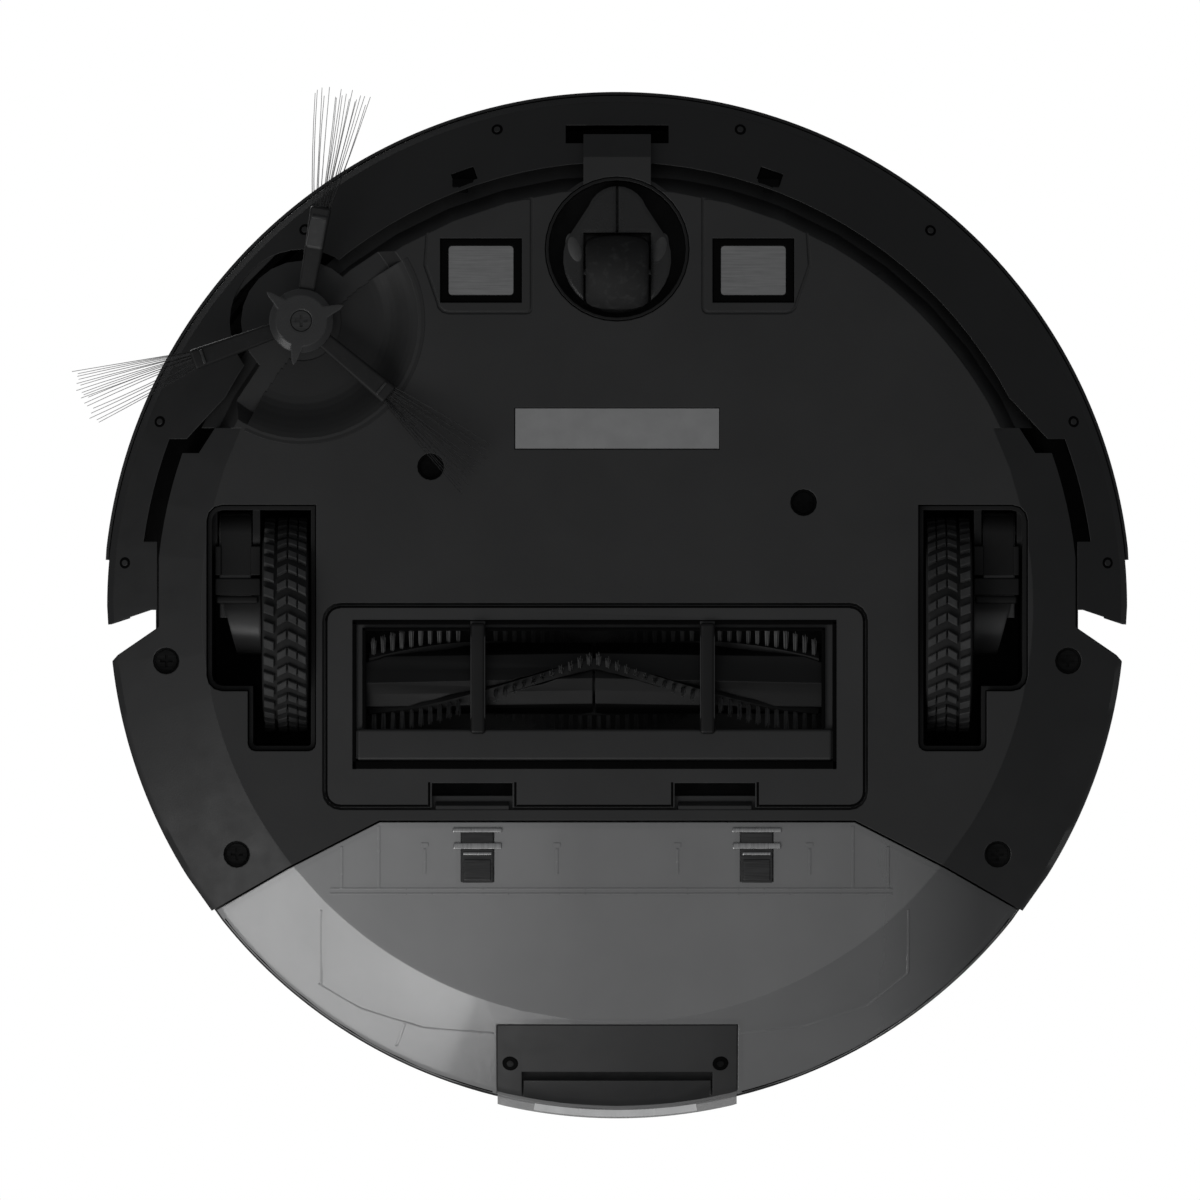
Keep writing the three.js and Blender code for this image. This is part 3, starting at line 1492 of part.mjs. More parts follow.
function sideHub() {
  const bottomFlange = [
    at(SIDE_SCREW_R + SEAT, HUB_LOW),
    at(HUB_R - FLANGE_T, HUB_LOW),
    at(HUB_R, gripLow - FLANGE_T / 3),
    at(HUB_R, gripLow),
    at(HUB_CORE_R, gripLow),
    at(HUB_CORE_R, gripHigh),
    at(HUB_R - FLANGE_T / 2, gripHigh),
    at(HUB_R - FLANGE_T, HUB_TOP),
    at(SHAFT_R + SEAT, HUB_TOP),
    at(SHAFT_R + SEAT, HUB_LOW + SIDE_SCREW_T + SEAT),
    at(SIDE_SCREW_R + SEAT, HUB_LOW + SIDE_SCREW_T + SEAT),
  ];
  const spool = turnedRing(bottomFlange, ROUND);
  const prongs = armAngles().map((angle) => sideProng(angle + 180 / ARMS));
  return cut(join(spool, ...prongs), rod(SIDE_SCREW_R + SEAT, 0, HUB_LOW + SIDE_SCREW_T + SEAT));
}

const armAngles = () => Array.from({ length: ARMS }, (_, i) => ARM_START_DEG + (i * 360) / ARMS);

function sideProng(angle) {
  const start = SIDE_SCREW_R + WALL;
  const wedge = prism([
    at(start, -PRONG_W / 2),
    at(PRONG_REACH - LAP, -PRONG_W / 6),
    at(PRONG_REACH, 0),
    at(PRONG_REACH - LAP, PRONG_W / 6),
    at(start, PRONG_W / 2),
  ], HUB_LOW, gripLow);
  return wedge.rotateZ(angle * DEG);
}

function armForm(angle) {
  const inner = HUB_CORE_R + SEAT + LAP;
  const z = gripLow + SEAT;
  const taper = ARM_W / 2 - SEAT;
  const section = (x, half, low, high) => [
    new THREE.Vector3(x, -half, low),
    new THREE.Vector3(x, half, low),
    new THREE.Vector3(x, half, high),
    new THREE.Vector3(x, -half, high),
  ];
  const tip = z - ARM_DROP;
  const body = lofted([
    section(inner, taper, z, z + RING_T),
    section(HUB_R, taper, z, z + RING_T),
    section(ARM_REACH * 0.62, ARM_W / 2, tip + ARM_DROP / 3, tip + ARM_DROP / 3 + ARM_T),
    section(ARM_REACH, ARM_W / 2, tip, tip + ARM_T),
  ]);
  return body.rotateZ(angle * DEG);
}

function sideStrands(angle) {
  const z = gripLow + SEAT - ARM_DROP + ARM_T / 2;
  const strands = [];
  for (const part of [-1, 1]) {
    for (let i = 0; i < SIDE_STRANDS; i += 1) {
      const share = i / (SIDE_STRANDS - 1) - 1 / 2;
      const across = part * (ARM_W / 4) + share * (ARM_W / 2 - SIDE_STRAND_W);
      const level = z + (i % 2 ? 1 : -1) * (ARM_T / 2 - SIDE_STRAND_W / 2) * 0.7;
      const base = new THREE.Vector3(ARM_REACH - LAP, across, level);
      const fan = (part * SUB_TUFT_SPLIT_DEG) / 2 + share * SUB_TUFT_DEG;
      const reach = SWEEP_R - (i % 3) * SIDE_STRAND_W;
      const tip = new THREE.Vector3(
        reach * Math.cos(fan * DEG),
        reach * Math.sin(fan * DEG),
        SWEEP_LOW + (level - z) + ARM_T / 2,
      );
      strands.push(strand(base, tip, SIDE_STRAND_W, new THREE.Vector3(0, 0, 1)));
    }
  }
  return mergeGeometries(strands).rotateZ(angle * DEG);
}

function sideSpider() {
  const ring = turnedRing([
    at(HUB_CORE_R + SEAT, gripLow + SEAT),
    at(RING_R, gripLow + SEAT),
    at(RING_R, gripLow + SEAT + RING_T),
    at(HUB_CORE_R + SEAT, gripLow + SEAT + RING_T),
  ], ROUND);
  return join(ring, ...armAngles().map(armForm), ...armAngles().map(sideStrands));
}

function sideScrew() {
  const head = rod(SIDE_SCREW_R, HUB_LOW, HUB_LOW + SIDE_SCREW_T);
  const thread = rod(SCREW_R, HUB_LOW, HUB_TOP - SEAT, 0, 0, SMALL_ROUND);
  return cut(
    join(head, thread),
    ...driveCross(HUB_LOW),
  );
}

function driveCross(z) {
  return [0, 90].map((turn) => block(
    -DRIVE_L / 2, DRIVE_L / 2, -DRIVE_W / 2, DRIVE_W / 2, z - OVER, z + DRIVE_W,
  ).rotateZ(turn * DEG));
}

function sideMotor() {
  const base = bossHigh + SEAT;
  return join(
    rod(SIDE_MOTOR_R, base, base + SIDE_MOTOR_H),
    rod(SHAFT_R, HUB_TOP + SEAT, base + WALL, 0, 0, SMALL_ROUND),
  );
}

function chassisScrew() {
  const head = rod(SCREW_HEAD_R, 0, SCREW_HEAD_T, 0, 0, SMALL_ROUND);
  return cut(
    join(head, rod(SCREW_R, 0, SCREW_L, 0, 0, 6)),
    ...driveCross(0),
  );
}

// Caster: built about the swivel axis

function casterSocket() {
  const top = UNDER + SOCKET_H;
  return turnedRing([
    at(SOCKET_R - SOCKET_T, UNDER + SEAT),
    at(SOCKET_R, UNDER + SEAT),
    at(SOCKET_R, top),
    at(STEM_R + RUN, top),
    at(STEM_R + RUN, top - WALL),
    at(SOCKET_R - SOCKET_T, top - WALL),
  ], 36);
}

const cheekIn = CASTER_WHEEL_W / 2 + RUN;
const forkTop = UNDER + SOCKET_H - WALL - RUN;

function casterFork() {
  const outline = [
    ...arc(0, CASTER_TRAIL - FORK_R / 4, FORK_R, -20, 200, 18),
    ...arc(0, FORK_NOSE_Y, FORK_NOSE_R, 200, 340, 10),
  ];
  const body = common(
    prism(outline, FORK_LOW, forkTop),
    rod(SOCKET_R - SOCKET_T - RUN, 0, forkTop, 0, 0, 40),
  );
  const room = CASTER_WHEEL_R + RUN;
  const slot = block(
    -cheekIn, cheekIn, CASTER_TRAIL - room, CASTER_TRAIL + FAR,
    0, CASTER_WHEEL_R + room,
  );
  return cut(
    join(body, rod(STEM_R, forkTop - WALL, UNDER + SOCKET_H + LAP, 0, 0, 24)),
    slot,
    crossRod(CASTER_AXLE_R + SEAT, -FORK_R, FORK_R, CASTER_TRAIL, CASTER_WHEEL_R),
    block(-GROOVE / 2, GROOVE / 2, -FAR, CASTER_TRAIL - room, 0, FORK_LOW + CASTER_GROOVE),
  );
}

function casterWheel() {
  const half = CASTER_WHEEL_W / 2;
  const edge = LAP;
  const profile = [
    at(CASTER_AXLE_R + SEAT, -half),
    at(CASTER_WHEEL_R - edge, -half),
    at(CASTER_WHEEL_R, -half + edge),
    at(CASTER_WHEEL_R, -CASTER_GROOVE / 2),
    at(CASTER_WHEEL_R - edge, -CASTER_GROOVE / 4),
    at(CASTER_WHEEL_R - edge, CASTER_GROOVE / 4),
    at(CASTER_WHEEL_R, CASTER_GROOVE / 2),
    at(CASTER_WHEEL_R, half - edge),
    at(CASTER_WHEEL_R - edge, half),
    at(CASTER_AXLE_R + SEAT, half),
  ];
  return turnedRing(profile, ROUND).rotateY(90 * DEG);
}

function casterAxle() {
  const half = cheekIn + CHEEK_T;
  return crossRod(CASTER_AXLE_R, -half, half, 0, 0);
}

// Drive wheels: built for the left side about the wheel's own centre line

const wheelZ = WHEEL_R;
const housingTop = 2 * WHEEL_R + RUN + HOUSING_WALL;
const housingPlan = moved(pocketPlan, -SEAT);

function wheelHousing() {
  const shell = cut(
    prism(housingPlan, UNDER + HOUSING_START, housingTop),
    prism(moved(housingPlan, -HOUSING_WALL), 0, housingTop - HOUSING_WALL),
  );
  const front = POCKET_FRONT + SEAT + HOUSING_WALL / 2;
  const outer = POCKET_OUT - SEAT - HOUSING_WALL / 2;
  const lugShape = (x0, x1) => join(
    block(x0, x1, front, PIVOT_Y, PIVOT_Z - LUG_R, PIVOT_Z + LUG_R),
    crossRod(LUG_R, x0, x1, PIVOT_Y, PIVOT_Z, ROUND),
  );
  return cut(
    join(
      shell,
      lugShape(GEARBOX_IN, GEARBOX_IN + LUG_T),
      common(lugShape(outer - LUG_T, outer), prism(housingPlan, UNDER, housingTop)),
    ),
    crossRod(PIVOT_PIN_R + SEAT, GEARBOX_IN - OVER, outer + OVER, PIVOT_Y, PIVOT_Z),
  );
}

const armIn = GEARBOX_IN + LUG_T + RUN;
const armOut = POCKET_OUT - SEAT - HOUSING_WALL / 2 - LUG_T - RUN;

function gearboxArm() {
  const far = GEARBOX_IN + GEARBOX_W;
  const front = GEARBOX_Y - GEARBOX_R;
  const rear = GEARBOX_Y + GEARBOX_R;
  const slope = prism([
    at(far, front), at(FAR, front), at(FAR, rear), at(far - GEARBOX_TAPER, rear),
  ], 0, FAR);
  return cut(
    join(
      cut(crossRod(GEARBOX_R, GEARBOX_IN, far, GEARBOX_Y, wheelZ, 32), slope),
      block(armIn, armOut, PIVOT_Y, front - RUN, PIVOT_Z - PIVOT_BOSS_R, PIVOT_Z + PIVOT_BOSS_R),
      block(armIn, armOut, PIVOT_Y + PIVOT_PIN_R, GEARBOX_Y, PIVOT_Z, ARM_LINK_TOP),
      crossRod(PIVOT_BOSS_R, armIn, armOut, PIVOT_Y, PIVOT_Z, ROUND),
      crossRod(PIVOT_PIN_R, GEARBOX_IN, POCKET_OUT - SEAT, PIVOT_Y, PIVOT_Z),
    ),
    crossRod(WHEEL_AXLE_R + SEAT, GEARBOX_IN - OVER, GEARBOX_IN + WHEEL_AXLE, WHEEL_Y, wheelZ),
  );
}

const rimR = WHEEL_R - TREAD - TYRE_T;
const tyreOut = TYRE_IN + TYRE_W;

function wheelHub() {
  const rim = rimR - SEAT;
  const webIn = TYRE_W / 2 - HUB_WEB / 2;
  const webOut = TYRE_W / 2 + HUB_WEB / 2;
  const profile = [
    at(0, webIn),
    at(rim - HUB_RIM, webIn),
    at(rim - HUB_RIM, 0),
    at(rim, 0),
    at(rim, TYRE_W),
    at(rim - HUB_RIM, TYRE_W),
    at(rim - HUB_RIM, webOut),
    at(WHEEL_AXLE_R + HUB_RIM, webOut),
    at(WHEEL_AXLE_R + HUB_RIM, TYRE_W),
    at(WHEEL_AXLE_R, TYRE_W),
    at(WHEEL_AXLE_R, TYRE_W + WHEEL_AXLE - SEAT),
    at(0, TYRE_W + WHEEL_AXLE - SEAT),
  ];
  return turned(profile, ROUND).rotateY(90 * DEG);
}

// Chevron lugs: the outline of a cog, leaned one way to the middle and back again.
function tyre() {
  const ring = (x, lean) => {
    const points = [];
    for (let i = 0; i < LUGS; i += 1) {
      const start = ((i + lean) * 2 * Math.PI) / LUGS;
      const step = (2 * Math.PI) / LUGS;
      const shares = [[0, WHEEL_R - TREAD], [0.12, WHEEL_R], [0.62, WHEEL_R], [0.74, WHEEL_R - TREAD]];
      for (const [share, radius] of shares) {
        points.push(around(x, radius, start + share * step));
      }
    }
    return points;
  };
  const body = lofted([ring(0, 0), ring(TYRE_W / 2, LUG_LEAN_SHARE), ring(TYRE_W, 0)]);
  return cut(body, crossRod(rimR, -OVER, TYRE_W + OVER, 0, 0, 32));
}

// Inner machinery

function batteryPack() {
  const cells = 6;
  const cell = BATTERY_L / cells;
  const grooves = [];
  for (let i = 1; i < cells; i += 1) {
    const x = -BATTERY_L / 2 + i * cell;
    grooves.push(block(
      x - CELL_LINE / 2, x + CELL_LINE / 2, -FAR, FAR, BATTERY_H - CELL_LINE, BATTERY_H + OVER,
    ));
  }
  const body = prism(
    roundedBox(-BATTERY_L / 2, BATTERY_L / 2, -BATTERY_W / 2, BATTERY_W / 2, WALL),
    0, BATTERY_H,
  );
  return cut(body, ...grooves);
}

function mainBoard() {
  return prism(
    roundedBox(-BOARD_L / 2, BOARD_L / 2, BOARD_Y - BOARD_W / 2, BOARD_Y + BOARD_W / 2, WALL),
    UNDER + BOARD_RISE, UNDER + BOARD_RISE + BOARD_T,
  );
}

function brushMotor() {
  const x = chamberRight + WALL + SEAT;
  const z = ledgeZ + FLOOR + SEAT;
  return cut(
    block(x, x + BRUSH_MOTOR_W, BRUSH_MOTOR_FRONT, BRUSH_MOTOR_REAR, z, z + BRUSH_MOTOR_H),
    crossRod(COUPLING_R + RUN, x - OVER, x + COUPLING_REACH + RUN, BRUSH_Y, BRUSH_Z, ROUND),
  );
}

const fanBase = chamberTop + WALL + SEAT;

function fanHousing() {
  const shell = turnedRing([
    at(SHAFT_R + SEAT, 0),
    at(FAN_R, 0),
    at(FAN_R, FAN_H),
    at(FAN_INLET_R, FAN_H),
    at(FAN_INLET_R, FAN_H - FAN_WALL),
    at(FAN_R - FAN_WALL, FAN_H - FAN_WALL),
    at(FAN_R - FAN_WALL, FAN_WALL),
    at(SHAFT_R + SEAT, FAN_WALL),
  ], ROUND);
  return cut(
    shell,
    block(FAN_R - 2 * OVER, FAN_R + OVER, -OVER, OVER, 2 * FAN_WALL, FAN_H - 2 * FAN_WALL),
  );
}

function fanImpeller() {
  const base = FAN_WALL + RUN;
  const plate = turned([
    at(0, 0),
    at(SHAFT_R, 0),
    at(SHAFT_R, base),
    at(IMPELLER_R, base),
    at(IMPELLER_R, base + BLADE_T),
    at(IMPELLER_HUB_R, base + 2 * BLADE_T),
    at(IMPELLER_HUB_R / 2, base + IMPELLER_H),
    at(0, base + IMPELLER_H),
  ], ROUND);
  const bow = arc(IMPELLER_R / 2, 0, IMPELLER_R / 2, 195, 345, 2);
  const back = bow.map((p) => at(p.x, p.y + BLADE_T)).reverse();
  const blades = Array.from({ length: FAN_BLADES }, (_, i) => (
    prism([...bow, ...back], base, base + IMPELLER_H).rotateZ((i * 2 * Math.PI) / FAN_BLADES)
  ));
  return join(plate, ...blades);
}

// Assembly

const robot = new THREE.Group();

robot.add(piece('chassis_base', chassisBase(), DARK_PLASTIC));
robot.add(piece('top_cover', topCover(), DARK_PLASTIC));
robot.add(piece('deck_panel', deckPanel(), GLOSS_BLACK));
robot.add(placed(piece('power_button', button(), GLOSS_BLACK), 0, POWER_Y, BODY_TOP));
robot.add(placed(piece('home_button', button(), GLOSS_BLACK), 0, HOME_Y, BODY_TOP));

SCREW_PLACES.forEach(([x, y], i) => {
  const screw = piece(`chassis_screw_${i + 1}`, chassisScrew(), STEEL);
  robot.add(placed(screw, x, y, UNDER + SCREW_SUNK));
});

robot.add(piece('rating_label', block(
  -LABEL_HALF, LABEL_HALF, LABEL_FRONT_Y, LABEL_REAR_Y,
  UNDER + LABEL_RECESS - SEAT - LABEL_T, UNDER + LABEL_RECESS - SEAT,
), LABEL_GREY));

for (const [name, side] of [['left', 1], ['right', -1]]) {
  const pad = prism(
    roundedBox(-CONTACT_W / 2, CONTACT_W / 2, -CONTACT_D / 2, CONTACT_D / 2, WALL / 2),
    RECESS_DEPTH - SEAT - CONTACT_T, RECESS_DEPTH - SEAT,
  );
  const contact = piece(`charge_contact_${name}`, pad, CONTACT_METAL);
  robot.add(placed(contact, side * CONTACT_X, CONTACT_Y, UNDER));
}

const bumper = new THREE.Group();
bumper.add(piece('bumper_shell', bumperShell(), BLACK_PLASTIC));
bumper.add(piece('bumper_skin', bumperSkin(), DARK_PLASTIC));
bumper.add(piece('bumper_window', bumperWindow(), GLOSS_BLACK));
bumper.add(piece('cliff_window_left', cliffWindow(1, 0, 0), GLOSS_BLACK));
bumper.add(piece('cliff_window_right', cliffWindow(-1, 0, 0), GLOSS_BLACK));
robot.add(bumper);

const bin = new THREE.Group();
bin.add(piece('bin_body', binBody(), SMOKY_CLEAR));
bin.add(piece('bin_ramp', binRamp(), SMOKY_CLEAR));
bin.add(piece('bin_lid', binLid(), BLACK_PLASTIC));
bin.add(piece('bin_filter', binFilter(), FILTER_WHITE));
bin.add(piece('bin_flap', binFlap(), RUBBER));
bin.add(piece('bin_latch_block', latchBlock(), BLACK_PLASTIC));
bin.add(piece('bin_release_button', releaseButton(), BLACK_PLASTIC));
bin.add(piece('bin_clip_left', clipSeat(1, 0), STEEL));
bin.add(piece('bin_clip_right', clipSeat(-1, 0), STEEL));
robot.add(bin);

robot.add(piece('brush_cover', brushCover(), DARK_PLASTIC));
robot.add(piece('scraper_strip', scraperStrip(), RUBBER));

const mainBrush = new THREE.Group();
mainBrush.position.set(BRUSH_X, BRUSH_Y, BRUSH_Z);
mainBrush.add(piece('main_brush_core', brushCore(), DARK_PLASTIC));
for (const row of rows()) {
  mainBrush.add(piece(`main_brush_bristles_${row + 1}`, brushStrip(row), BRISTLE));
}
mainBrush.add(piece('main_brush_bearing', brushBearing(), BLACK_PLASTIC));
mainBrush.add(piece('main_brush_coupling', brushCoupling(), BLACK_PLASTIC));
robot.add(mainBrush);

const sideBrush = new THREE.Group();
sideBrush.position.set(HUB_X, HUB_Y, 0);
sideBrush.add(piece('side_brush_hub', sideHub(), DARK_PLASTIC));
sideBrush.add(piece('side_brush_spider', sideSpider(), SOFT_GREY));
sideBrush.add(piece('side_brush_screw', sideScrew(), STEEL));
sideBrush.add(piece('side_brush_motor', sideMotor(), BLACK_PLASTIC));
robot.add(sideBrush);

const caster = new THREE.Group();
caster.position.set(0, CASTER_Y, 0);
caster.add(piece('caster_socket', casterSocket(), BLACK_PLASTIC));
caster.add(piece('caster_fork', casterFork(), DARK_PLASTIC));
caster.add(placed(piece('caster_wheel', casterWheel(), RUBBER), 0, CASTER_TRAIL, CASTER_WHEEL_R));
caster.add(placed(piece('caster_axle', casterAxle(), STEEL), 0, CASTER_TRAIL, CASTER_WHEEL_R));
robot.add(caster);

for (const [name, side] of [['left', 1], ['right', -1]]) {
  const sided = (shape) => (side > 0 ? geometryOf(shape) : flipped(geometryOf(shape)));
  robot.add(piece(`wheel_housing_${name}`, sided(wheelHousing()), BLACK_PLASTIC));
  robot.add(piece(`drive_gearbox_${name}`, sided(gearboxArm()), DARK_PLASTIC));
  const wheel = new THREE.Group();
  wheel.position.set(side * TYRE_IN, WHEEL_Y, wheelZ);
  wheel.add(piece(`wheel_hub_${name}`, sided(wheelHub()), BLACK_PLASTIC));
  wheel.add(piece(`tyre_${name}`, sided(tyre()), RUBBER));
  robot.add(wheel);
}

robot.add(placed(
  piece('battery_pack', batteryPack(), BATTERY_BLUE), BATTERY_X, BATTERY_Y, FLOOR_TOP + SEAT,
));
robot.add(piece('main_board', mainBoard(), BOARD_GREEN));
robot.add(piece('brush_motor', brushMotor(), BLACK_PLASTIC));
const fan = new THREE.Group();
fan.position.set(FAN_X, FAN_Y, fanBase);
fan.add(piece('fan_housing', fanHousing(), BLACK_PLASTIC));
fan.add(piece('fan_impeller', fanImpeller(), SOFT_GREY));
robot.add(fan);

export default robot;
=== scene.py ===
# %% [markdown]
# # A robot vacuum, seen from underneath
#
# The CAD model already holds every piece at its real size. This notebook gives the pieces their
# looks: moulded black plastic, a smoky clear dust bin, rubber tyres, nylon bristles and soft light.
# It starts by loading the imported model, because every new piece has to sit where the model says.

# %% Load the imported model
import json
import math
import random

import bmesh
import bpy
from mathutils import Matrix, Vector
from mathutils.bvhtree import BVHTree


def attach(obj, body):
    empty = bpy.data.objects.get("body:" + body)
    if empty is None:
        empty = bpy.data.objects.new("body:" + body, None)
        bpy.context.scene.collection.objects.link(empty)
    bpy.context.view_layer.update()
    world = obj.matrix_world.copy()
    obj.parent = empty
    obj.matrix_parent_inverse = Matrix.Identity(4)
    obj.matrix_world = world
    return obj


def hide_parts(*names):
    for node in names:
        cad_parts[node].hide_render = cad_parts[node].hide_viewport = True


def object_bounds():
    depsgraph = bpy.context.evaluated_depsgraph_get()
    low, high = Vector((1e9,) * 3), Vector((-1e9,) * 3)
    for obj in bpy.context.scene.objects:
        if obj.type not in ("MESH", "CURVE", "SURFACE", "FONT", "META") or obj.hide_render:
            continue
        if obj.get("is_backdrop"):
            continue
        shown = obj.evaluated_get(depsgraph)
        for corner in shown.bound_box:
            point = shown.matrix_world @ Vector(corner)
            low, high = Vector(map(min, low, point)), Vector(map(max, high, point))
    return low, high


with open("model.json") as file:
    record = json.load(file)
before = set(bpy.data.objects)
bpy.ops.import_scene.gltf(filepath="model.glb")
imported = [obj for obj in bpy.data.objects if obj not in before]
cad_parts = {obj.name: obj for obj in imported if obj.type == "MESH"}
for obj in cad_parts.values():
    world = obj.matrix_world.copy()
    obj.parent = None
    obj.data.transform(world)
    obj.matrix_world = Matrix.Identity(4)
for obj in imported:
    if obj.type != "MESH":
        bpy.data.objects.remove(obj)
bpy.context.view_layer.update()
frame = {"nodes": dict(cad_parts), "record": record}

nodes = frame["nodes"]
scene = bpy.context.scene
MM = 0.001

# %% [markdown]
# ## The camera
#
# The photograph looks straight up at the underside, with the machine's front at the top of the
# picture. A long lens far away gives the same flat view, and half a turn about X makes the front,
# which is -Y, point up in the frame.

# %% The camera
VIEW_CENTRE = (-5.5 * MM, -1.9 * MM)
VIEW_WIDTH = 385.2 * MM
CAMERA_DISTANCE = 6.0
MIDDLE_HEIGHT = 25 * MM

camera_data = bpy.data.cameras.new("photo_camera")
camera_data.sensor_width = 36
camera_data.lens = camera_data.sensor_width * CAMERA_DISTANCE / VIEW_WIDTH
camera_data.clip_end = 20
camera = bpy.data.objects.new("photo_camera", camera_data)
scene.collection.objects.link(camera)
camera.location = (*VIEW_CENTRE, MIDDLE_HEIGHT - CAMERA_DISTANCE)
camera.rotation_euler = (math.pi, 0, 0)
scene.camera = camera
print("lens", round(camera_data.lens, 1), "mm")

# %% [markdown]
# ## Soft studio light
#
# The chamfer of the dust bin is bright at the picture's lower left and dark at its right, so the
# main light is a large soft box low on that side. Weaker boxes fill in the rest, and two light the
# top. The camera doesn't see them.

# %% Lights
# The place of each soft box in metres, its width in metres and its power in watts.
SOFT_BOXES = {
    "key_low_left": ((-0.62, 0.72, -0.78), 0.9, 4.9),
    "rear_low": ((-0.36, 0.90, -0.90), 0.6, 1.4),
    "fill_below": ((-0.10, 0.45, -1.40), 1.2, 0.9),
    "top_key": ((-0.9, -1.0, 1.3), 0.9, 22.0),
    "top_fill": ((1.1, 0.8, 1.0), 1.2, 9.0),
}
LIGHT_AIM = Vector((0, 0, 0.02))

for name, (place, width, power) in SOFT_BOXES.items():
    data = bpy.data.lights.new(name, "AREA")
    data.shape = "DISK"
    data.size = width
    data.energy = power
    light = bpy.data.objects.new(name, data)
    scene.collection.objects.link(light)
    light.location = place
    light.rotation_euler = (LIGHT_AIM - Vector(place)).to_track_quat("-Z", "Y").to_euler()
    light.visible_camera = False
print("placed", len(SOFT_BOXES), "soft boxes")

# %% [markdown]
# The world is white where the camera sees it, as the photograph's background is, and much dimmer
# for every other ray, so that the black plastic doesn't turn grey with reflections.

# %% The world
BACKDROP_STRENGTH, REFLECTED_STRENGTH = 1.0, 0.16
BACKDROP_COLOUR, REFLECTED_COLOUR = (1, 1, 1, 1), (0.95, 0.97, 1, 1)

world = bpy.data.worlds.new("studio")
world.use_nodes = True
scene.world = world
world_nodes, world_links = world.node_tree.nodes, world.node_tree.links
seen = world_nodes["Background"]
seen.inputs["Color"].default_value = BACKDROP_COLOUR
seen.inputs["Strength"].default_value = BACKDROP_STRENGTH
unseen = world_nodes.new("ShaderNodeBackground")
unseen.inputs["Color"].default_value = REFLECTED_COLOUR
unseen.inputs["Strength"].default_value = REFLECTED_STRENGTH
ray = world_nodes.new("ShaderNodeLightPath")
either = world_nodes.new("ShaderNodeMixShader")
world_links.new(ray.outputs["Is Camera Ray"], either.inputs[0])
world_links.new(unseen.outputs[0], either.inputs[1])
world_links.new(seen.outputs[0], either.inputs[2])
world_links.new(either.outputs[0], world_nodes["World Output"].inputs["Surface"])
scene.view_settings.view_transform = "Standard"
print("the world is white for the camera and", REFLECTED_STRENGTH, "of white for the rest")

# %% [markdown]
# The floor is a plain pale sheet. The photograph's camera is under it, so its lower side is
# see-through, and it casts no shadow or reflection on the machine.

# %% The floor
FLOOR_HALF, FLOOR_DROP = 3, 0.3 * MM
FLOOR_GREY, FLOOR_ROUGHNESS = 0.82, 0.8


def mesh_of(bm, name):
    """The mesh of a bmesh, which is freed."""
    mesh = bpy.data.meshes.new(name)
    bm.to_mesh(mesh)
    bm.free()
    return mesh


floor_bm = bmesh.new()
bmesh.ops.create_grid(floor_bm, x_segments=1, y_segments=1, size=FLOOR_HALF)
bmesh.ops.translate(floor_bm, vec=(0, 0, -FLOOR_DROP), verts=floor_bm.verts)
floor_mesh = mesh_of(floor_bm, "pale_floor")
floor = bpy.data.objects.new("pale_floor", floor_mesh)
scene.collection.objects.link(floor)

floor_paint = bpy.data.materials.new("pale_floor")
floor_paint.use_nodes = True
floor_nodes, floor_links = floor_paint.node_tree.nodes, floor_paint.node_tree.links
paint = floor_nodes["Principled BSDF"]
paint.inputs["Base Color"].default_value = (FLOOR_GREY, FLOOR_GREY, FLOOR_GREY, 1)
paint.inputs["Roughness"].default_value = FLOOR_ROUGHNESS
side = floor_nodes.new("ShaderNodeNewGeometry")
clear = floor_nodes.new("ShaderNodeBsdfTransparent")
sheet = floor_nodes.new("ShaderNodeMixShader")
floor_links.new(side.outputs["Backfacing"], sheet.inputs[0])
floor_links.new(paint.outputs[0], sheet.inputs[1])
floor_links.new(clear.outputs[0], sheet.inputs[2])
floor_links.new(sheet.outputs[0], floor_nodes["Material Output"].inputs["Surface"])
floor_mesh.materials.append(floor_paint)
for hidden_ray in ("visible_shadow", "visible_diffuse", "visible_glossy", "visible_transmission"):
    setattr(floor, hidden_ray, False)
floor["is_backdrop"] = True
print("floor", round(floor.dimensions.x, 1), "m wide")

# %% [markdown]
# ## Helpers for finishes
#
# A finish is a Principled shader fed by noise in object coordinates, so the pattern stays on the
# piece when it moves. A picture of plastic would be flatter, and would have to be fitted to each piece.
# A scale is given as the size of one grain in millimetres, as it can be measured on a real surface.

# %% A finish and its noise
finishes = {}


def finish_start(name):
    """Keep a new material in finishes, and give its node tree and its Principled shader."""
    material = finishes[name] = bpy.data.materials.new(name)
    material.use_nodes = True
    tree = material.node_tree
    tree.nodes.new("ShaderNodeTexCoord").name = "where"
    return tree, tree.nodes["Principled BSDF"]


def noise(tree, size_mm, detail=2.0, stretch=(1, 1, 1)):
    """Noise whose grains are about size_mm across, and longer where stretch is below one."""
    turn = tree.nodes.new("ShaderNodeMapping")
    turn.inputs["Scale"].default_value = stretch
    tree.links.new(tree.nodes["where"].outputs["Object"], turn.inputs["Vector"])
    texture = tree.nodes.new("ShaderNodeTexNoise")
    texture.inputs["Scale"].default_value = 1 / (size_mm * MM)
    texture.inputs["Detail"].default_value = detail
    tree.links.new(turn.outputs[0], texture.inputs["Vector"])
    return texture.outputs["Fac"]


def ramp(tree, factor, stops):
    """A colour ramp over a factor. A stop is (place, grey) or (place, (red, green, blue))."""
    node = tree.nodes.new("ShaderNodeValToRGB")
    elements = node.color_ramp.elements
    while len(elements) < len(stops):
        elements.new(0.5)
    for element, (place, colour) in zip(elements, stops):
        shade = colour if isinstance(colour, tuple) else (colour,) * 3
        element.position = place
        element.color = (*shade, 1)
    tree.links.new(factor, node.inputs[0])
    return node.outputs[0]


def two_tone(tree, factor, dark, light):
    """Two shades that a noise runs between."""
    return ramp(tree, factor, [(0.3, dark), (0.7, light)])


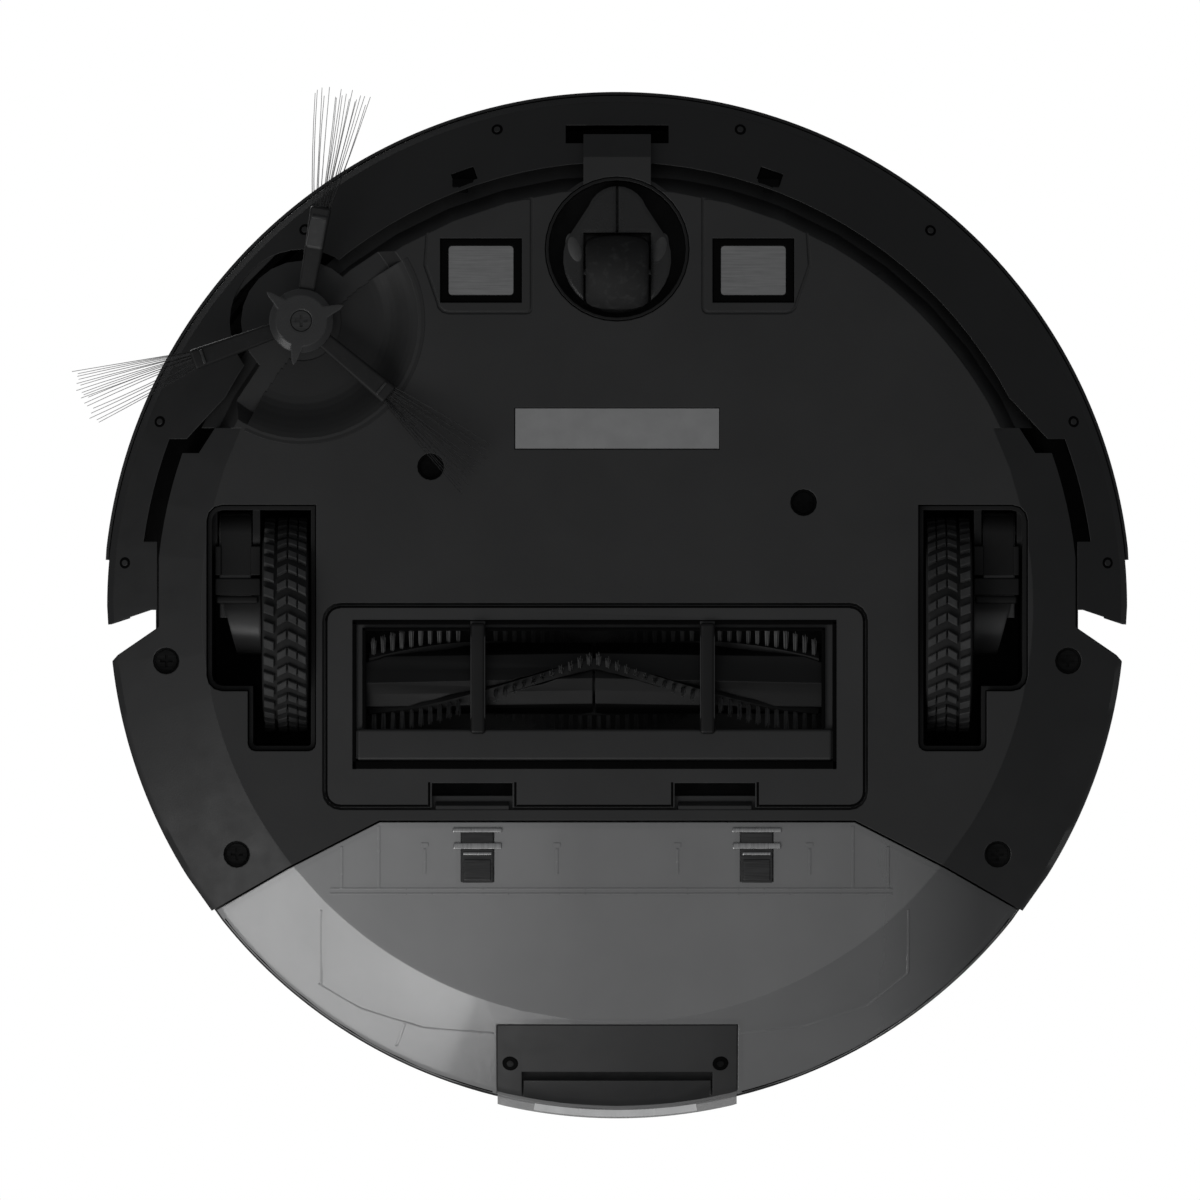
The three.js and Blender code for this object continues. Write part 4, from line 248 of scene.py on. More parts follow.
def blend(tree, kind, first, second, factor=None):
    """The second colour, a socket or a grey, over the first, by a factor where one is given."""
    node = tree.nodes.new("ShaderNodeMix")
    node.data_type, node.blend_type = "RGBA", kind
    sockets = [socket for socket in node.inputs if socket.type == "RGBA"]
    tree.links.new(first, sockets[0])
    if isinstance(second, float):
        sockets[1].default_value = (second, second, second, 1)
    else:
        tree.links.new(second, sockets[1])
    if factor:
        tree.links.new(factor, node.inputs[0])
    else:
        node.inputs[0].default_value = 1.0
    return next(socket for socket in node.outputs if socket.type == "RGBA")


def bump(tree, shader, height, depth_mm, normal=None):
    """Relief of a depth, laid over the rounded normal where one is given."""
    node = tree.nodes.new("ShaderNodeBump")
    node.inputs["Distance"].default_value = depth_mm * MM
    tree.links.new(height, node.inputs["Height"])
    if normal:
        tree.links.new(normal, node.inputs["Normal"])
    tree.links.new(node.outputs[0], shader.inputs["Normal"])


print("helpers: noise, ramp, two_tone, blend, bump")

# %% [markdown]
# Moulded edges are rounded by a few tenths of a millimetre, and handling polishes them. A Bevel node
# turns the normal near an edge, which gives a thin line of light, and where it differs from the true
# normal the colour is a little paler: wear, and a painted highlight along the edge.

# %% Rounded edges, with wear and a painted highlight
BEVEL_SAMPLES = 4
PALEST_EDGE_BELOW, PLAIN_FACE_ABOVE = 0.80, 0.985


def rounded_normal(tree, radius_mm):
    edge = tree.nodes.new("ShaderNodeBevel")
    edge.samples = BEVEL_SAMPLES
    edge.inputs["Radius"].default_value = radius_mm * MM
    return edge.outputs[0]


def edge_wear_and_highlight(tree, rounded):
    """1 on an edge and 0 away from it, from how far the rounded normal turns."""
    geometry = tree.nodes.new("ShaderNodeNewGeometry")
    match = tree.nodes.new("ShaderNodeVectorMath")
    match.operation = "DOT_PRODUCT"
    tree.links.new(rounded, match.inputs[0])
    tree.links.new(geometry.outputs["Normal"], match.inputs[1])
    return ramp(tree, match.outputs["Value"], [(PALEST_EDGE_BELOW, 1.0), (PLAIN_FACE_ABOVE, 0.0)])


# A worn edge here is a paler edge: wear and a painted highlight.
print("an edge counts as worn where the normals' product is under", PLAIN_FACE_ABOVE)

# %% [markdown]
# ## Moulded plastic
#
# Most of the machine is black ABS from a spark-eroded mould: a fine, even grain that scatters the
# light, slightly uneven gloss, and a trace of wear on the edges, with a painted highlight there. The
# photograph shows the same plastic in several shades, so one function makes them all, from two greys
# and two roughnesses. Some of these shades are lighter and darker copies of one plastic: painted light
# and painted shade, marked below.

# %% Moulded plastics
def moulded(
    name, dark, light, gloss, rough, grain_mm=0.55, grain_depth=0.02, edge_mm=0.45, wear_and_highlight=0.02, shine=0.5,
):
    """Plastic of two greys and two roughnesses, a grain, and rounded edges with wear and a painted
    highlight.
    """
    tree, shader = finish_start(name)
    shader.inputs["Specular IOR Level"].default_value = shine
    mottle = ramp(tree, noise(tree, 26, 3), [(0.35, dark), (0.7, light)])
    rounded = rounded_normal(tree, edge_mm)
    # The edges are paler: wear and a painted highlight.
    colour = blend(tree, "ADD", mottle, wear_and_highlight, edge_wear_and_highlight(tree, rounded))
    tree.links.new(colour, shader.inputs["Base Color"])
    uneven = ramp(tree, noise(tree, 7, 4), [(0.3, gloss), (0.75, rough)])
    tree.links.new(uneven, shader.inputs["Roughness"])
    bump(tree, shader, noise(tree, grain_mm, 2), grain_depth, rounded)


moulded("body_plastic", 0.0125, 0.0165, 0.46, 0.58)
moulded("black_plastic", 0.0085, 0.0115, 0.42, 0.52, wear_and_highlight=0.012)
# Painted shade: the black plastic made darker in the wheel pockets.
moulded("pocket_painted_shade", 0.006, 0.009, 0.55, 0.65, wear_and_highlight=0.008, shine=0.25)
# On the bumper's skin this is painted shade: the body's plastic made darker.
moulded("bumper_plastic", 0.0095, 0.0115, 0.45, 0.56, wear_and_highlight=0.012)
# Painted light: the body's plastic made lighter on the bin's latch block.
moulded("latch_block_painted_light", 0.021, 0.027, 0.46, 0.58)
# Painted light: the body's plastic made lighter on the gearboxes, which sit in the pockets' shade.
moulded("gear_painted_light", 0.044, 0.060, 0.3, 0.42, edge_mm=1.0, wear_and_highlight=0.04)
# Painted reflection: the body's plastic made lighter on the brush guard.
moulded("cover_painted_light", 0.018, 0.023, 0.46, 0.58)
# Painted shade: the black plastic made darker on the brush's core and in the caster's socket.
moulded("core_painted_shade", 0.004, 0.007, 0.4, 0.5, wear_and_highlight=0.02, shine=0.25)
moulded("bar_plastic", 0.006, 0.009, 0.4, 0.5, wear_and_highlight=0.02, shine=0.25)
# Painted shade: near black for wells, gaps, steps, recesses and the cliff sensors' windows.
moulded("painted_shade_black", 0.0012, 0.002, 0.5, 0.6, wear_and_highlight=0.002, shine=0.04)
# Painted shade: the body's plastic made darker on the caster's fork.
moulded("fork_painted_shade", 0.009, 0.013, 0.24, 0.34, edge_mm=1.8, wear_and_highlight=0.02)
# Painted highlight: the black plastic made lighter on the side brush's hub.
moulded("hub_painted_highlight", 0.026, 0.040, 0.2, 0.32, edge_mm=0.8, wear_and_highlight=0.06)
moulded("bowl_plastic", 0.01, 0.013, 0.46, 0.58, shine=0.4)
moulded(
    "gloss_black", 0.006, 0.008, 0.08, 0.14, grain_mm=4, grain_depth=0.004, edge_mm=0.3, wear_and_highlight=0.01,
)
print("plastics", sorted(finishes))

# %% [markdown]
# ## Rubber, metal and the rest
#
# Tyres, the caster's wheel and the brush arms are rubber. It has no edge shine, and dust gathers in
# its pores, so a fine noise adds a paler shade where its peaks are.

# %% Rubbers
def rubber(name, dark, light, rough=0.8, dust=0.02):
    tree, shader = finish_start(name)
    base = two_tone(tree, noise(tree, 9, 3), dark, light)
    dust_and_painted_shade = ramp(tree, noise(tree, 2.2, 5), [(0.52, 0.0), (0.8, 1.0)])
    tree.links.new(blend(tree, "ADD", base, dust, dust_and_painted_shade), shader.inputs["Base Color"])
    shader.inputs["Roughness"].default_value = rough
    shader.inputs["Specular IOR Level"].default_value = 0.35
    bump(tree, shader, noise(tree, 0.4, 3), 0.04)


rubber("rubber", 0.012, 0.018)
rubber("arm_rubber", 0.006, 0.010, 0.6, 0.004)
rubber("tyre_rubber", 0.030, 0.046, 0.72)
# Painted shade: the tyre's rubber made darker for the band in the grooves between the lugs.
rubber("tyre_band_painted_shade", 0.010, 0.015, 0.8, 0.006)
rubber("soft_grey", 0.045, 0.06, 0.55)
print("rubbers made")

# %% [markdown]
# Screws, axles and charge contacts are metal, brushed along one direction. Noise that is stretched
# twenty times along an axis gives the streaks, in the colour and as a very shallow relief.

# %% Metals
ALONG_X, ALONG_Y = (0.05, 1, 1), (1, 0.05, 1)


def metal(name, dark, light, rough, stretch=ALONG_X):
    tree, shader = finish_start(name)
    streak = noise(tree, 0.5, 2, stretch)
    tree.links.new(two_tone(tree, streak, dark, light), shader.inputs["Base Color"])
    uneven = two_tone(tree, noise(tree, 3, 3), rough - 0.06, rough + 0.06)
    tree.links.new(uneven, shader.inputs["Roughness"])
    shader.inputs["Metallic"].default_value = 1.0
    bump(tree, shader, streak, 0.01)


metal("steel", 0.05, 0.08, 0.38)
metal("black_steel", 0.012, 0.02, 0.45)
metal("contact_metal", 0.24, 0.3, 0.5)
# Painted highlight: a paler, smoother copy of the clips' steel, for the bends that catch the light.
metal("clip_painted_highlight", 0.3, 0.42, 0.3, ALONG_Y)
metal("clip_metal", 0.05, 0.08, 0.42)
print("metals made")

# %% [markdown]
# The label, the filter's paper and the boards inside need no more than two shades, one roughness
# and a little relief, so they share one plain function.

# %% Painted, printed and fibrous finishes
def plain(name, dark, light, rough, size_mm=6, depth=0.02):
    tree, shader = finish_start(name)
    shades = two_tone(tree, noise(tree, size_mm, 4), dark, light)
    tree.links.new(shades, shader.inputs["Base Color"])
    shader.inputs["Roughness"].default_value = rough
    bump(tree, shader, noise(tree, size_mm / 8, 3), depth)


plain("label_grey", 0.24, 0.27, 0.5)
plain("filter_white", (0.55, 0.55, 0.52), (0.68, 0.67, 0.63), 0.95, 1.2, 0.1)
plain("board_green", (0.01, 0.075, 0.025), (0.015, 0.1, 0.04), 0.4)
plain("battery_blue", (0.02, 0.045, 0.13), (0.03, 0.06, 0.17), 0.35)
print("plain finishes made")

# %% [markdown]
# Nylon bristles are thin and let light through: pale against a bright background, dark against the
# black body. Some transparency in the shader gives both.

# %% Bristles
NYLON_ROUGHNESS = 0.42


def nylon(name, dark, light, see_through):
    tree, shader = finish_start(name)
    shades = two_tone(tree, noise(tree, 1.5, 3), dark, light)
    tree.links.new(shades, shader.inputs["Base Color"])
    shader.inputs["Roughness"].default_value = NYLON_ROUGHNESS
    shader.inputs["Alpha"].default_value = 1 - see_through
    bump(tree, shader, noise(tree, 0.3, 2), 0.01)


nylon("bristle", 0.06, 0.09, 0.0)
nylon("side_bristle", 0.018, 0.035, 0.4)
print("nylon of the main brush and of the side brush made")

# %% [markdown]
# The dust bin is smoky clear plastic, moulded smooth, so it mirrors the lights and hides what is
# inside only partly. True refraction would take many more samples and look the same on thin walls, so
# the surface is simply part see-through. A ramp across its width darkens its tint towards +X: painted
# light and shade, bright on the side of the low key light and dark on the far side.

# %% Smoky clear plastic
BIN_HALF = 130 * MM
PAINTED_SHADE_STOPS = [(0.08, 1.0), (0.26, 0.84), (0.46, 0.58), (0.82, 0.48), (0.95, 0.18)]


def smoky(name, tint, cover):
    """Clear plastic with a tint darkened across X as painted shade, which covers a share of what is behind.
    """
    tree, shader = finish_start(name)
    haze = two_tone(tree, noise(tree, 30, 4), tint * 0.94, tint * 1.06)
    apart = tree.nodes.new("ShaderNodeSeparateXYZ")
    tree.links.new(tree.nodes["where"].outputs["Object"], apart.inputs[0])
    across = tree.nodes.new("ShaderNodeMapRange")
    across.inputs["From Min"].default_value = -BIN_HALF
    across.inputs["From Max"].default_value = BIN_HALF
    tree.links.new(apart.outputs["X"], across.inputs["Value"])
    # Painted shade: the tint dims across X, away from the key light.
    dust_and_painted_shade = blend(tree, "MULTIPLY", haze, ramp(tree, across.outputs["Result"], PAINTED_SHADE_STOPS))
    rounded = rounded_normal(tree, 0.5)
    # The edges are paler by 0.08: wear and a painted highlight.
    colour = blend(tree, "ADD", dust_and_painted_shade, 0.08, edge_wear_and_highlight(tree, rounded))
    tree.links.new(colour, shader.inputs["Base Color"])
    scratches = ramp(tree, noise(tree, 1.4, 5, ALONG_Y), [(0.4, 0.17), (0.8, 0.26)])
    tree.links.new(scratches, shader.inputs["Roughness"])
    shader.inputs["Alpha"].default_value = cover
    shader.inputs["IOR"].default_value = 1.55
    shader.inputs["Specular IOR Level"].default_value = 1.0
    bump(tree, shader, noise(tree, 45, 1), 0.015, rounded)


smoky("smoky_clear", 0.42, 0.7)
print("finishes", len(finishes))

# %% [markdown]
# ## Rounding the large circles
#
# The real shell is truly round. The CAD model's large circles are straight steps, which show on the
# outline. They are split here, and the new points pushed out to the circle, because a subdivision
# modifier would soften the crisp edges too. A step is an edge whose ends lie at one height and one
# distance from the centre, and which goes on in another such edge.

# %% Round the large circles
ROUND = ["chassis_base", "bumper_shell", "bumper_skin", "bumper_window", "top_cover", "bin_body",
         "bin_lid", "deck_panel", "bin_latch_block"]
CENTRES = [0, 3.6 * MM]
STEP_DEG = 1.25
LEAST_CIRCLE = 90 * MM
LEAST_STEP, MOST_STEP = 2.5 * MM, 30 * MM
LEVEL_SLACK, REACH_SLACK = 0.005 * MM, 0.01 * MM
MOST_PUSH_SHARE = 0.03


def round_circles(bm, centre_y):
    """Split the steps of the circles about a centre and push the new points out to them."""
    bmesh.ops.join_triangles(
        bm, faces=bm.faces, angle_face_threshold=math.radians(0.3), angle_shape_threshold=math.pi,
    )
    reach = bm.verts.layers.float.new("reach")
    for v in bm.verts:
        v[reach] = math.hypot(v.co.x, v.co.y - centre_y)

    def is_step(edge):
        a, b = edge.verts
        level = abs(a.co.z - b.co.z) < LEVEL_SLACK and abs(a[reach] - b[reach]) < REACH_SLACK
        return level and a[reach] > LEAST_CIRCLE and LEAST_STEP < edge.calc_length() < MOST_STEP

    steps = {edge for edge in bm.edges if is_step(edge)}
    by_cuts = {}
    for edge in steps:
        if any(near in steps and near is not edge for v in edge.verts for near in v.link_edges):
            span = math.degrees(edge.calc_length() / edge.verts[0][reach])
            by_cuts.setdefault(max(1, round(span / STEP_DEG) - 1), []).append(edge)
    old = set(bm.verts)
    for cuts, edges in by_cuts.items():
        bmesh.ops.subdivide_edges(bm, edges=edges, cuts=cuts, use_grid_fill=True)
    for v in bm.verts:
        now = math.hypot(v.co.x, v.co.y - centre_y)
        if v not in old and (1 - MOST_PUSH_SHARE) * v[reach] < now < v[reach]:
            v.co.x *= v[reach] / now
            v.co.y = centre_y + (v.co.y - centre_y) * v[reach] / now
    bm.verts.layers.float.remove(reach)


print("circles are rounded on", len(ROUND), "pieces")

# %% [markdown]
# ## Dressing a CAD piece
#
# A CAD node is loose triangles with flat shading. A copy of it has its points merged, its gentle
# curves shaded smooth and its edges kept crisp. The copy stands for the node, and the node stays
# behind it for collision. Normals weighted by area keep a flat face flat beside a rounded one.

# %% Dress a copy of a node
body_of_node = {n: b for b, members in frame["record"]["behaviour"]["bodies"].items() for n in members}
MERGE_DISTANCE = 0.01 * MM


def link_piece(name, mesh, body, finish, stands_for=()):
    """A piece with a finish that rides a body and may stand for CAD nodes."""
    piece = bpy.data.objects.new(name, mesh)
    scene.collection.objects.link(piece)
    mesh.materials.clear()
    mesh.materials.append(finishes[finish])
    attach(piece, body)
    if stands_for:
        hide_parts(*stands_for)
    return piece


def shade(bm, crease_deg):
    """Smooth faces, with an edge kept crisp where it turns by more than crease_deg."""
    limit = math.radians(crease_deg)
    for face in bm.faces:
        face.smooth = True
    for edge in bm.edges:
        edge.smooth = len(edge.link_faces) == 2 and edge.calc_face_angle(math.pi) < limit


def weigh_normals(piece):
    weigh = piece.modifiers.new("even_shading", "WEIGHTED_NORMAL")
    weigh.keep_sharp = True


def dress(node, finish, crease_deg=20):
    """A finished copy of a CAD node, in its place."""
    mesh = nodes[node].data.copy()
    mesh.name = node + "_finished"
    bm = bmesh.new()
    bm.from_mesh(mesh)
    bmesh.ops.remove_doubles(bm, verts=bm.verts, dist=MERGE_DISTANCE)
    if node in ROUND:
        for centre_y in CENTRES:
            round_circles(bm, centre_y)
    shade(bm, crease_deg)
    bm.to_mesh(mesh)
    bm.free()
    piece = link_piece(node + "_finished", mesh, body_of_node[node], finish, [node])
    weigh_normals(piece)


print(len(body_of_node), "nodes ride a body")

# %% [markdown]
# ## The rigid pieces
#
# Shells, housings and boards are injection moulded or stamped, and their shapes are right in the CAD
# model, so each one is dressed and gets its finish. Building them again here would only add errors.

# %% Dress the rigid pieces
DRESSED = {
    "body_plastic": ["chassis_base", "top_cover"],
    "black_plastic": ["bin_lid", "main_brush_bearing", "main_brush_coupling", "bin_release_button"],
    "gloss_black": ["deck_panel", "power_button", "home_button", "bumper_window"],
    "smoky_clear": ["bin_body", "bin_ramp"],
    "rubber": ["bin_flap"],
    "contact_metal": ["charge_contact_left", "charge_contact_right"],
    "label_grey": ["rating_label"],
    "filter_white": ["bin_filter"],
    "board_green": ["main_board"],
    "battery_blue": ["battery_pack"],
}
for finish, members in DRESSED.items():
    for member in members:
        dress(member, finish)

# The other pieces: the finish, the slot and the nodes. Where the finish is not the slot, it is the
# slot's plastic made lighter, as painted light, on the guard, the hub, the latch block and the
# gearboxes, and darker, as painted shade, on the bumper's skin, the fork, the pockets, the cliff
# windows, the brush's core and the caster's socket. The bumper's shell keeps about the slot's own shade.
SHADED = [
    ("cover_painted_light", "body_plastic", ["brush_cover"]),
    ("bumper_plastic", "black_plastic", ["bumper_shell"]),
    ("bumper_plastic", "body_plastic", ["bumper_skin"]),
    ("fork_painted_shade", "body_plastic", ["caster_fork"]),
    ("hub_painted_highlight", "black_plastic", ["side_brush_hub"]),
    ("pocket_painted_shade", "black_plastic", ["wheel_housing_left", "wheel_housing_right"]),
    # The cliff windows' near black is painted shade in their wells.
    ("painted_shade_black", "gloss_black", ["cliff_window_left", "cliff_window_right"]),
    ("latch_block_painted_light", "body_plastic", ["bin_latch_block"]),
    ("core_painted_shade", "black_plastic", ["main_brush_core", "caster_socket"]),
    ("gear_painted_light", "body_plastic", ["drive_gearbox_left", "drive_gearbox_right"]),
    ("black_plastic", "black_plastic", ["wheel_hub_left", "wheel_hub_right"]),
    ("black_plastic", "black_plastic", ["brush_motor", "side_brush_motor", "fan_housing"]),
    ("soft_grey", "soft_grey", ["fan_impeller"]),
    ("steel", "steel", ["caster_axle", "side_brush_screw"]),
]
for finish, slot, members in SHADED:
    for member in members:
        dress(member, finish)
for i in range(6):
    dress(f"chassis_screw_{i + 1}", "black_steel", 35)

# %% [markdown]
# ## Helpers for meshes
#
# From here on the pieces are soft, thin or small, and each is made in a bmesh, Blender's editable
# mesh, by what suits its form: a block is bevelled, an outline becomes a prism, and a profile is spun
# about an axis. Sizes are given in millimetres.

# %% Blocks, prisms and spun profiles
def add_block(bm, low, high, round_mm=0.3, segments=2):
    """A block with rounded edges between two corners."""
    low, high = (Vector(map(pick, low, high)) * MM for pick in (min, max))
    place = Matrix.Translation((low + high) / 2) @ Matrix.Diagonal((*(high - low), 1))
    block = bmesh.ops.create_cube(bm, size=1, matrix=place)["verts"]
    bevel(bm, {e for v in block for e in v.link_edges}, round_mm, segments)


def bevel(bm, edges, round_mm, segments):
    bmesh.ops.bevel(
        bm, geom=list(edges), offset=round_mm * MM, offset_type="OFFSET", affect="EDGES",
        segments=segments, profile=0.5, material=-1,
    )


def add_plates(bm, plates, z0, z1, round_mm, segments=2):
    """Blocks of one height, each given as x0, x1, y0, y1."""
    for x0, x1, y0, y1 in plates:
        add_block(bm, (x0, y0, z0), (x1, y1, z1), round_mm, segments)


def add_prism(bm, outline, x0, x1):
    """A solid with an outline in y and z, from x0 to x1."""
    near, far = ([bm.verts.new(Vector((x, *place)) * MM) for place in outline] for x in (x0, x1))
    for k in range(len(outline)):
        bm.faces.new((near[k - 1], near[k], far[k], far[k - 1]))
    bm.faces.new(near)
    bm.faces.new(far)


def spun(places, axis, steps, closed=True, cuts=0):
    """A new bmesh of places, joined by edges and spun round an axis through the origin."""
    bm = bmesh.new()
    points = [bm.verts.new(Vector(place) * MM) for place in places]
    edges = [bm.edges.new(pair) for pair in zip(points, points[1:] + points[:closed])]
    if cuts:
        bmesh.ops.subdivide_edges(bm, edges=edges, cuts=cuts)
    bmesh.ops.spin(
        bm, geom=bm.verts[:] + bm.edges[:], cent=(0, 0, 0), axis=axis, dvec=(0, 0, 0),
        angle=2 * math.pi, steps=steps, use_merge=True, use_duplicate=False,
    )
    return bm


def join_into(bm, part):
    """Add the bmesh part to bm."""
    mesh = mesh_of(part, "part")
    bm.from_mesh(mesh)
    bpy.data.meshes.remove(mesh)


def finish_bm(bm, name, body, finish, stands_for=(), crease_deg=30, weigh=True):
    """Turn a bmesh into a piece that rides a body."""
    bmesh.ops.recalc_face_normals(bm, faces=bm.faces)
    shade(bm, crease_deg)
    mesh = mesh_of(bm, name)
    piece = link_piece(name, mesh, body, finish, stands_for)
    if weigh:
        weigh_normals(piece)
    print(name, len(mesh.polygons), "faces")


# %% [markdown]
# ## Bristles and strands
#
# A strand starts as a small triangle of points, pushed out along its length in steps that bend it a
# little and make it thinner. Blender's hair would be quicker, but it isn't a mesh that is kept with the
# part, and a texture has no gaps between its bristles.

# %% One strand
TIP_SHARE = 0.5


def add_strand(bm, root, tip, width, bend, steps):
    """A three-sided strand from root to tip, bowed by bend at its middle, in metres."""
    along = tip - root
    turn = along.to_track_quat("Z", "X").to_matrix().to_4x4()
    ring = bmesh.ops.create_circle(
        bm, cap_ends=True, segments=3, radius=width / 2, matrix=Matrix.Translation(root) @ turn,
    )["verts"]
    face = ring[0].link_faces[0]
    last = Vector((0, 0, 0))
    thin = 1 - (1 - TIP_SHARE) / steps
    for step in range(1, steps + 1):
        share = step / steps
        place = along * share + bend * 4 * share * (1 - share)
        grown = bmesh.ops.extrude_face_region(bm, geom=[face])["geom"]
        points = [g for g in grown if isinstance(g, bmesh.types.BMVert)]
        new_face = next(g for g in grown if isinstance(g, bmesh.types.BMFace))
        if step > 1:
            bmesh.ops.delete(bm, geom=[face], context="FACES_ONLY")
        bmesh.ops.translate(bm, vec=place - last, verts=points)
        space = Matrix.Translation(-(root + place))
        bmesh.ops.scale(bm, vec=(thin, thin, thin), space=space, verts=points)
        face, last = new_face, place


print("a strand's tip is", TIP_SHARE, "of its root's width")

# %% [markdown]
# ## The main brush
#
# Three rows of stiff nylon run in a V round the roller, so that it moves dirt towards the middle. Each
# row is a rubber backing in a groove of the core, with tufts set close together.

# %% Sizes of the main brush
BRUSH_AXIS = Vector((-7.45, 23.2, 21.5)) * MM
BRUSH_HALF, CORE_R, BRUSH_R = 73.5 * MM, 11.4 * MM, 18.5 * MM
ROWS, ROW_START_DEG, ROW_TWIST_DEG = 3, -25.6, 1.47
ROW_HALF = BRUSH_HALF - 1.5 * MM


def row_angle(x, row):
    """The angle of a row at x along the roller, from straight down, as in the CAD model."""
    return math.radians(ROW_START_DEG + row * 360 / ROWS + ROW_TWIST_DEG * abs(x) / MM)


def on_roller(x, radius, angle):
    return BRUSH_AXIS + Vector((x, radius * math.sin(angle), -radius * math.cos(angle)))


print("brush", round(2 * BRUSH_R / MM), "mm across")

# %% [markdown]
# The backing is a strip of rubber, pressed into the core's groove. Its four corners are carried along
# the roller and bridged from station to station, which follows the V without any twist to correct.

# %% A row's backing
BACKING_CORNERS = [(8.1, 1), (8.1, -1), (11.9, -1), (11.9, 1)]
BACKING_HALF, STATIONS = 1.5, 29


def backing_bm(row):
    bm = bmesh.new()
    previous = []
    for i in range(STATIONS):
        x = ROW_HALF * (2 * i / (STATIONS - 1) - 1)
        corners = []
        for radius, side in BACKING_CORNERS:
            angle = row_angle(x, row) + side * BACKING_HALF / radius
            corners.append(bm.verts.new(on_roller(x, radius * MM, angle)))
        loop = [bm.edges.new((corners[k], corners[(k + 1) % 4])) for k in range(4)]
        if previous:
            bmesh.ops.bridge_loops(bm, edges=previous + loop)
        previous = loop
    bmesh.ops.holes_fill(bm, edges=[e for e in bm.edges if e.is_boundary], sides=4)
    return bm


print("a backing has", STATIONS, "stations")

# %% [markdown]
# A tuft is a pinch of nylon, stapled or moulded into the backing, and fans out a little. The tufts
# leave room for the guard's two crossbars, which the roller turns behind.

# %% The tufts, and all three rows
BAR_X, BAR_CLEAR = (-44.6, 28.9), 3.55 * MM
TUFT_PITCH, STRANDS, STRAND_WIDTH = 3.0 * MM, 10, 0.4 * MM
ROOT_DEPTH, ROOT_HALF, TIP_HALF = 0.4 * MM, 0.5 * MM, 0.8 * MM
ROOT_TURN, TIP_TURN = 0.045, 0.07


def tufts_bm(row):
    bm = bmesh.new()
    count = int(2 * (ROW_HALF - 1 * MM) / TUFT_PITCH)
    places = [(i - count / 2) * TUFT_PITCH for i in range(count + 1)]
    clear = [x for x in places if all(abs(x + BRUSH_AXIS.x - bar * MM) > BAR_CLEAR for bar in BAR_X)]
    for x in clear:
        for k in range(STRANDS):
            around = 2 * math.pi * k / STRANDS + random.uniform(-0.3, 0.3)
            spread = Vector((math.cos(around), math.sin(around))) * (1 - 0.5 * (k % 2))
            turn = row_angle(x, row)
            root = on_roller(x + spread.x * ROOT_HALF, CORE_R - ROOT_DEPTH, turn + spread.y * ROOT_TURN)
            reach = BRUSH_R - random.uniform(0, 0.5) * MM
            tip = on_roller(x + spread.x * TIP_HALF, reach, turn + spread.y * TIP_TURN)
            add_strand(bm, root, tip, STRAND_WIDTH, Vector((0, 0, 0)), 1)
    return bm


random.seed(11)
for row in range(ROWS):
    solid = [f"main_brush_bristles_{row + 1}"]
    finish_bm(backing_bm(row), f"main_brush_backing_{row + 1}", "main_brush", "arm_rubber", solid)
    finish_bm(
        tufts_bm(row), f"main_brush_tufts_{row + 1}", "main_brush", "bristle", solid, weigh=False,
    )

# %% [markdown]
# ## The side brush
#
# A soft three-armed spider, moulded of rubber, is clamped in the hub. Its ring is a circle spun about
# the hub. An arm could be a curve with a round section, but the real one is flat: it starts as a
# bevelled block, cut once across so that it can bend there, and its points are moved to make it droop
# and widen towards its end.

# %% The arms
HUB = Vector((-101.1, -91.2, 0)) * MM
ARMS = [-80, 40, 160]
ARM_REACH, BRUSH_SWEEP = 37 * MM, 76 * MM
ARM_LOW, ARM_HIGH, ARM_CUT = (7.7, -2.6, 6.2), (37, 2.6, 8.4), 20 * MM
ARM_STRAIGHT, ARM_DROOP, ARM_WIDER = 9 * MM, 2.6 * MM, 0.3
COLLAR_R, COLLAR_WIRE_R, COLLAR_Z = 7.95, 1.2, 7.4


def turned_arm(angle_deg):
    return Matrix.Translation(HUB) @ Matrix.Rotation(math.radians(angle_deg), 4, "Z")


def add_arm(bm, angle_deg):
    arm = bmesh.new()
    add_block(arm, ARM_LOW, ARM_HIGH, 0.9, 3)
    bmesh.ops.bisect_plane(
        arm, geom=arm.verts[:] + arm.edges[:] + arm.faces[:], plane_co=(ARM_CUT, 0, 0), plane_no=(1, 0, 0),
    )
    for v in arm.verts:
        out = max(0, (v.co.x - ARM_STRAIGHT) / (ARM_REACH - ARM_STRAIGHT))
        v.co.z -= ARM_DROOP * min(1, out * 1.2)
        v.co.y *= 1 + ARM_WIDER * out
    bmesh.ops.transform(arm, matrix=turned_arm(angle_deg), verts=arm.verts)
    join_into(bm, arm)


turns = [2 * math.pi * i / 12 for i in range(12)]
bm = spun(
    [(COLLAR_R + COLLAR_WIRE_R * math.cos(t), 0, COLLAR_Z + COLLAR_WIRE_R * math.sin(t)) for t in turns],
    (0, 0, 1), 40,
)
bmesh.ops.translate(bm, vec=HUB, verts=bm.verts)
for angle in ARMS:
    add_arm(bm, angle)
finish_bm(bm, "side_brush_arms", "side_brush", "arm_rubber", ["side_brush_spider"], 35)

# %% [markdown]
# Two fans of long nylon strands, a narrow and a wide one, are clamped in each arm. They reach past the
# body's edge and sag nearly to the floor. Flat cards with a picture of bristles would be lighter, but
# they look wrong from the side, so every strand is a mesh, with a length and a bow of its own.

# %% The long strands
# The side of the arm, the fan's lean and spread in degrees, and its number of strands.
FANS = [(-1, -4.8, 3.4, 5), (1, 2.9, 8.8, 13)]
FAN_ROOT_Z, FAN_TIP_Z, FAN_STRAND_WIDTH = 4.95, 1.9, 0.46 * MM

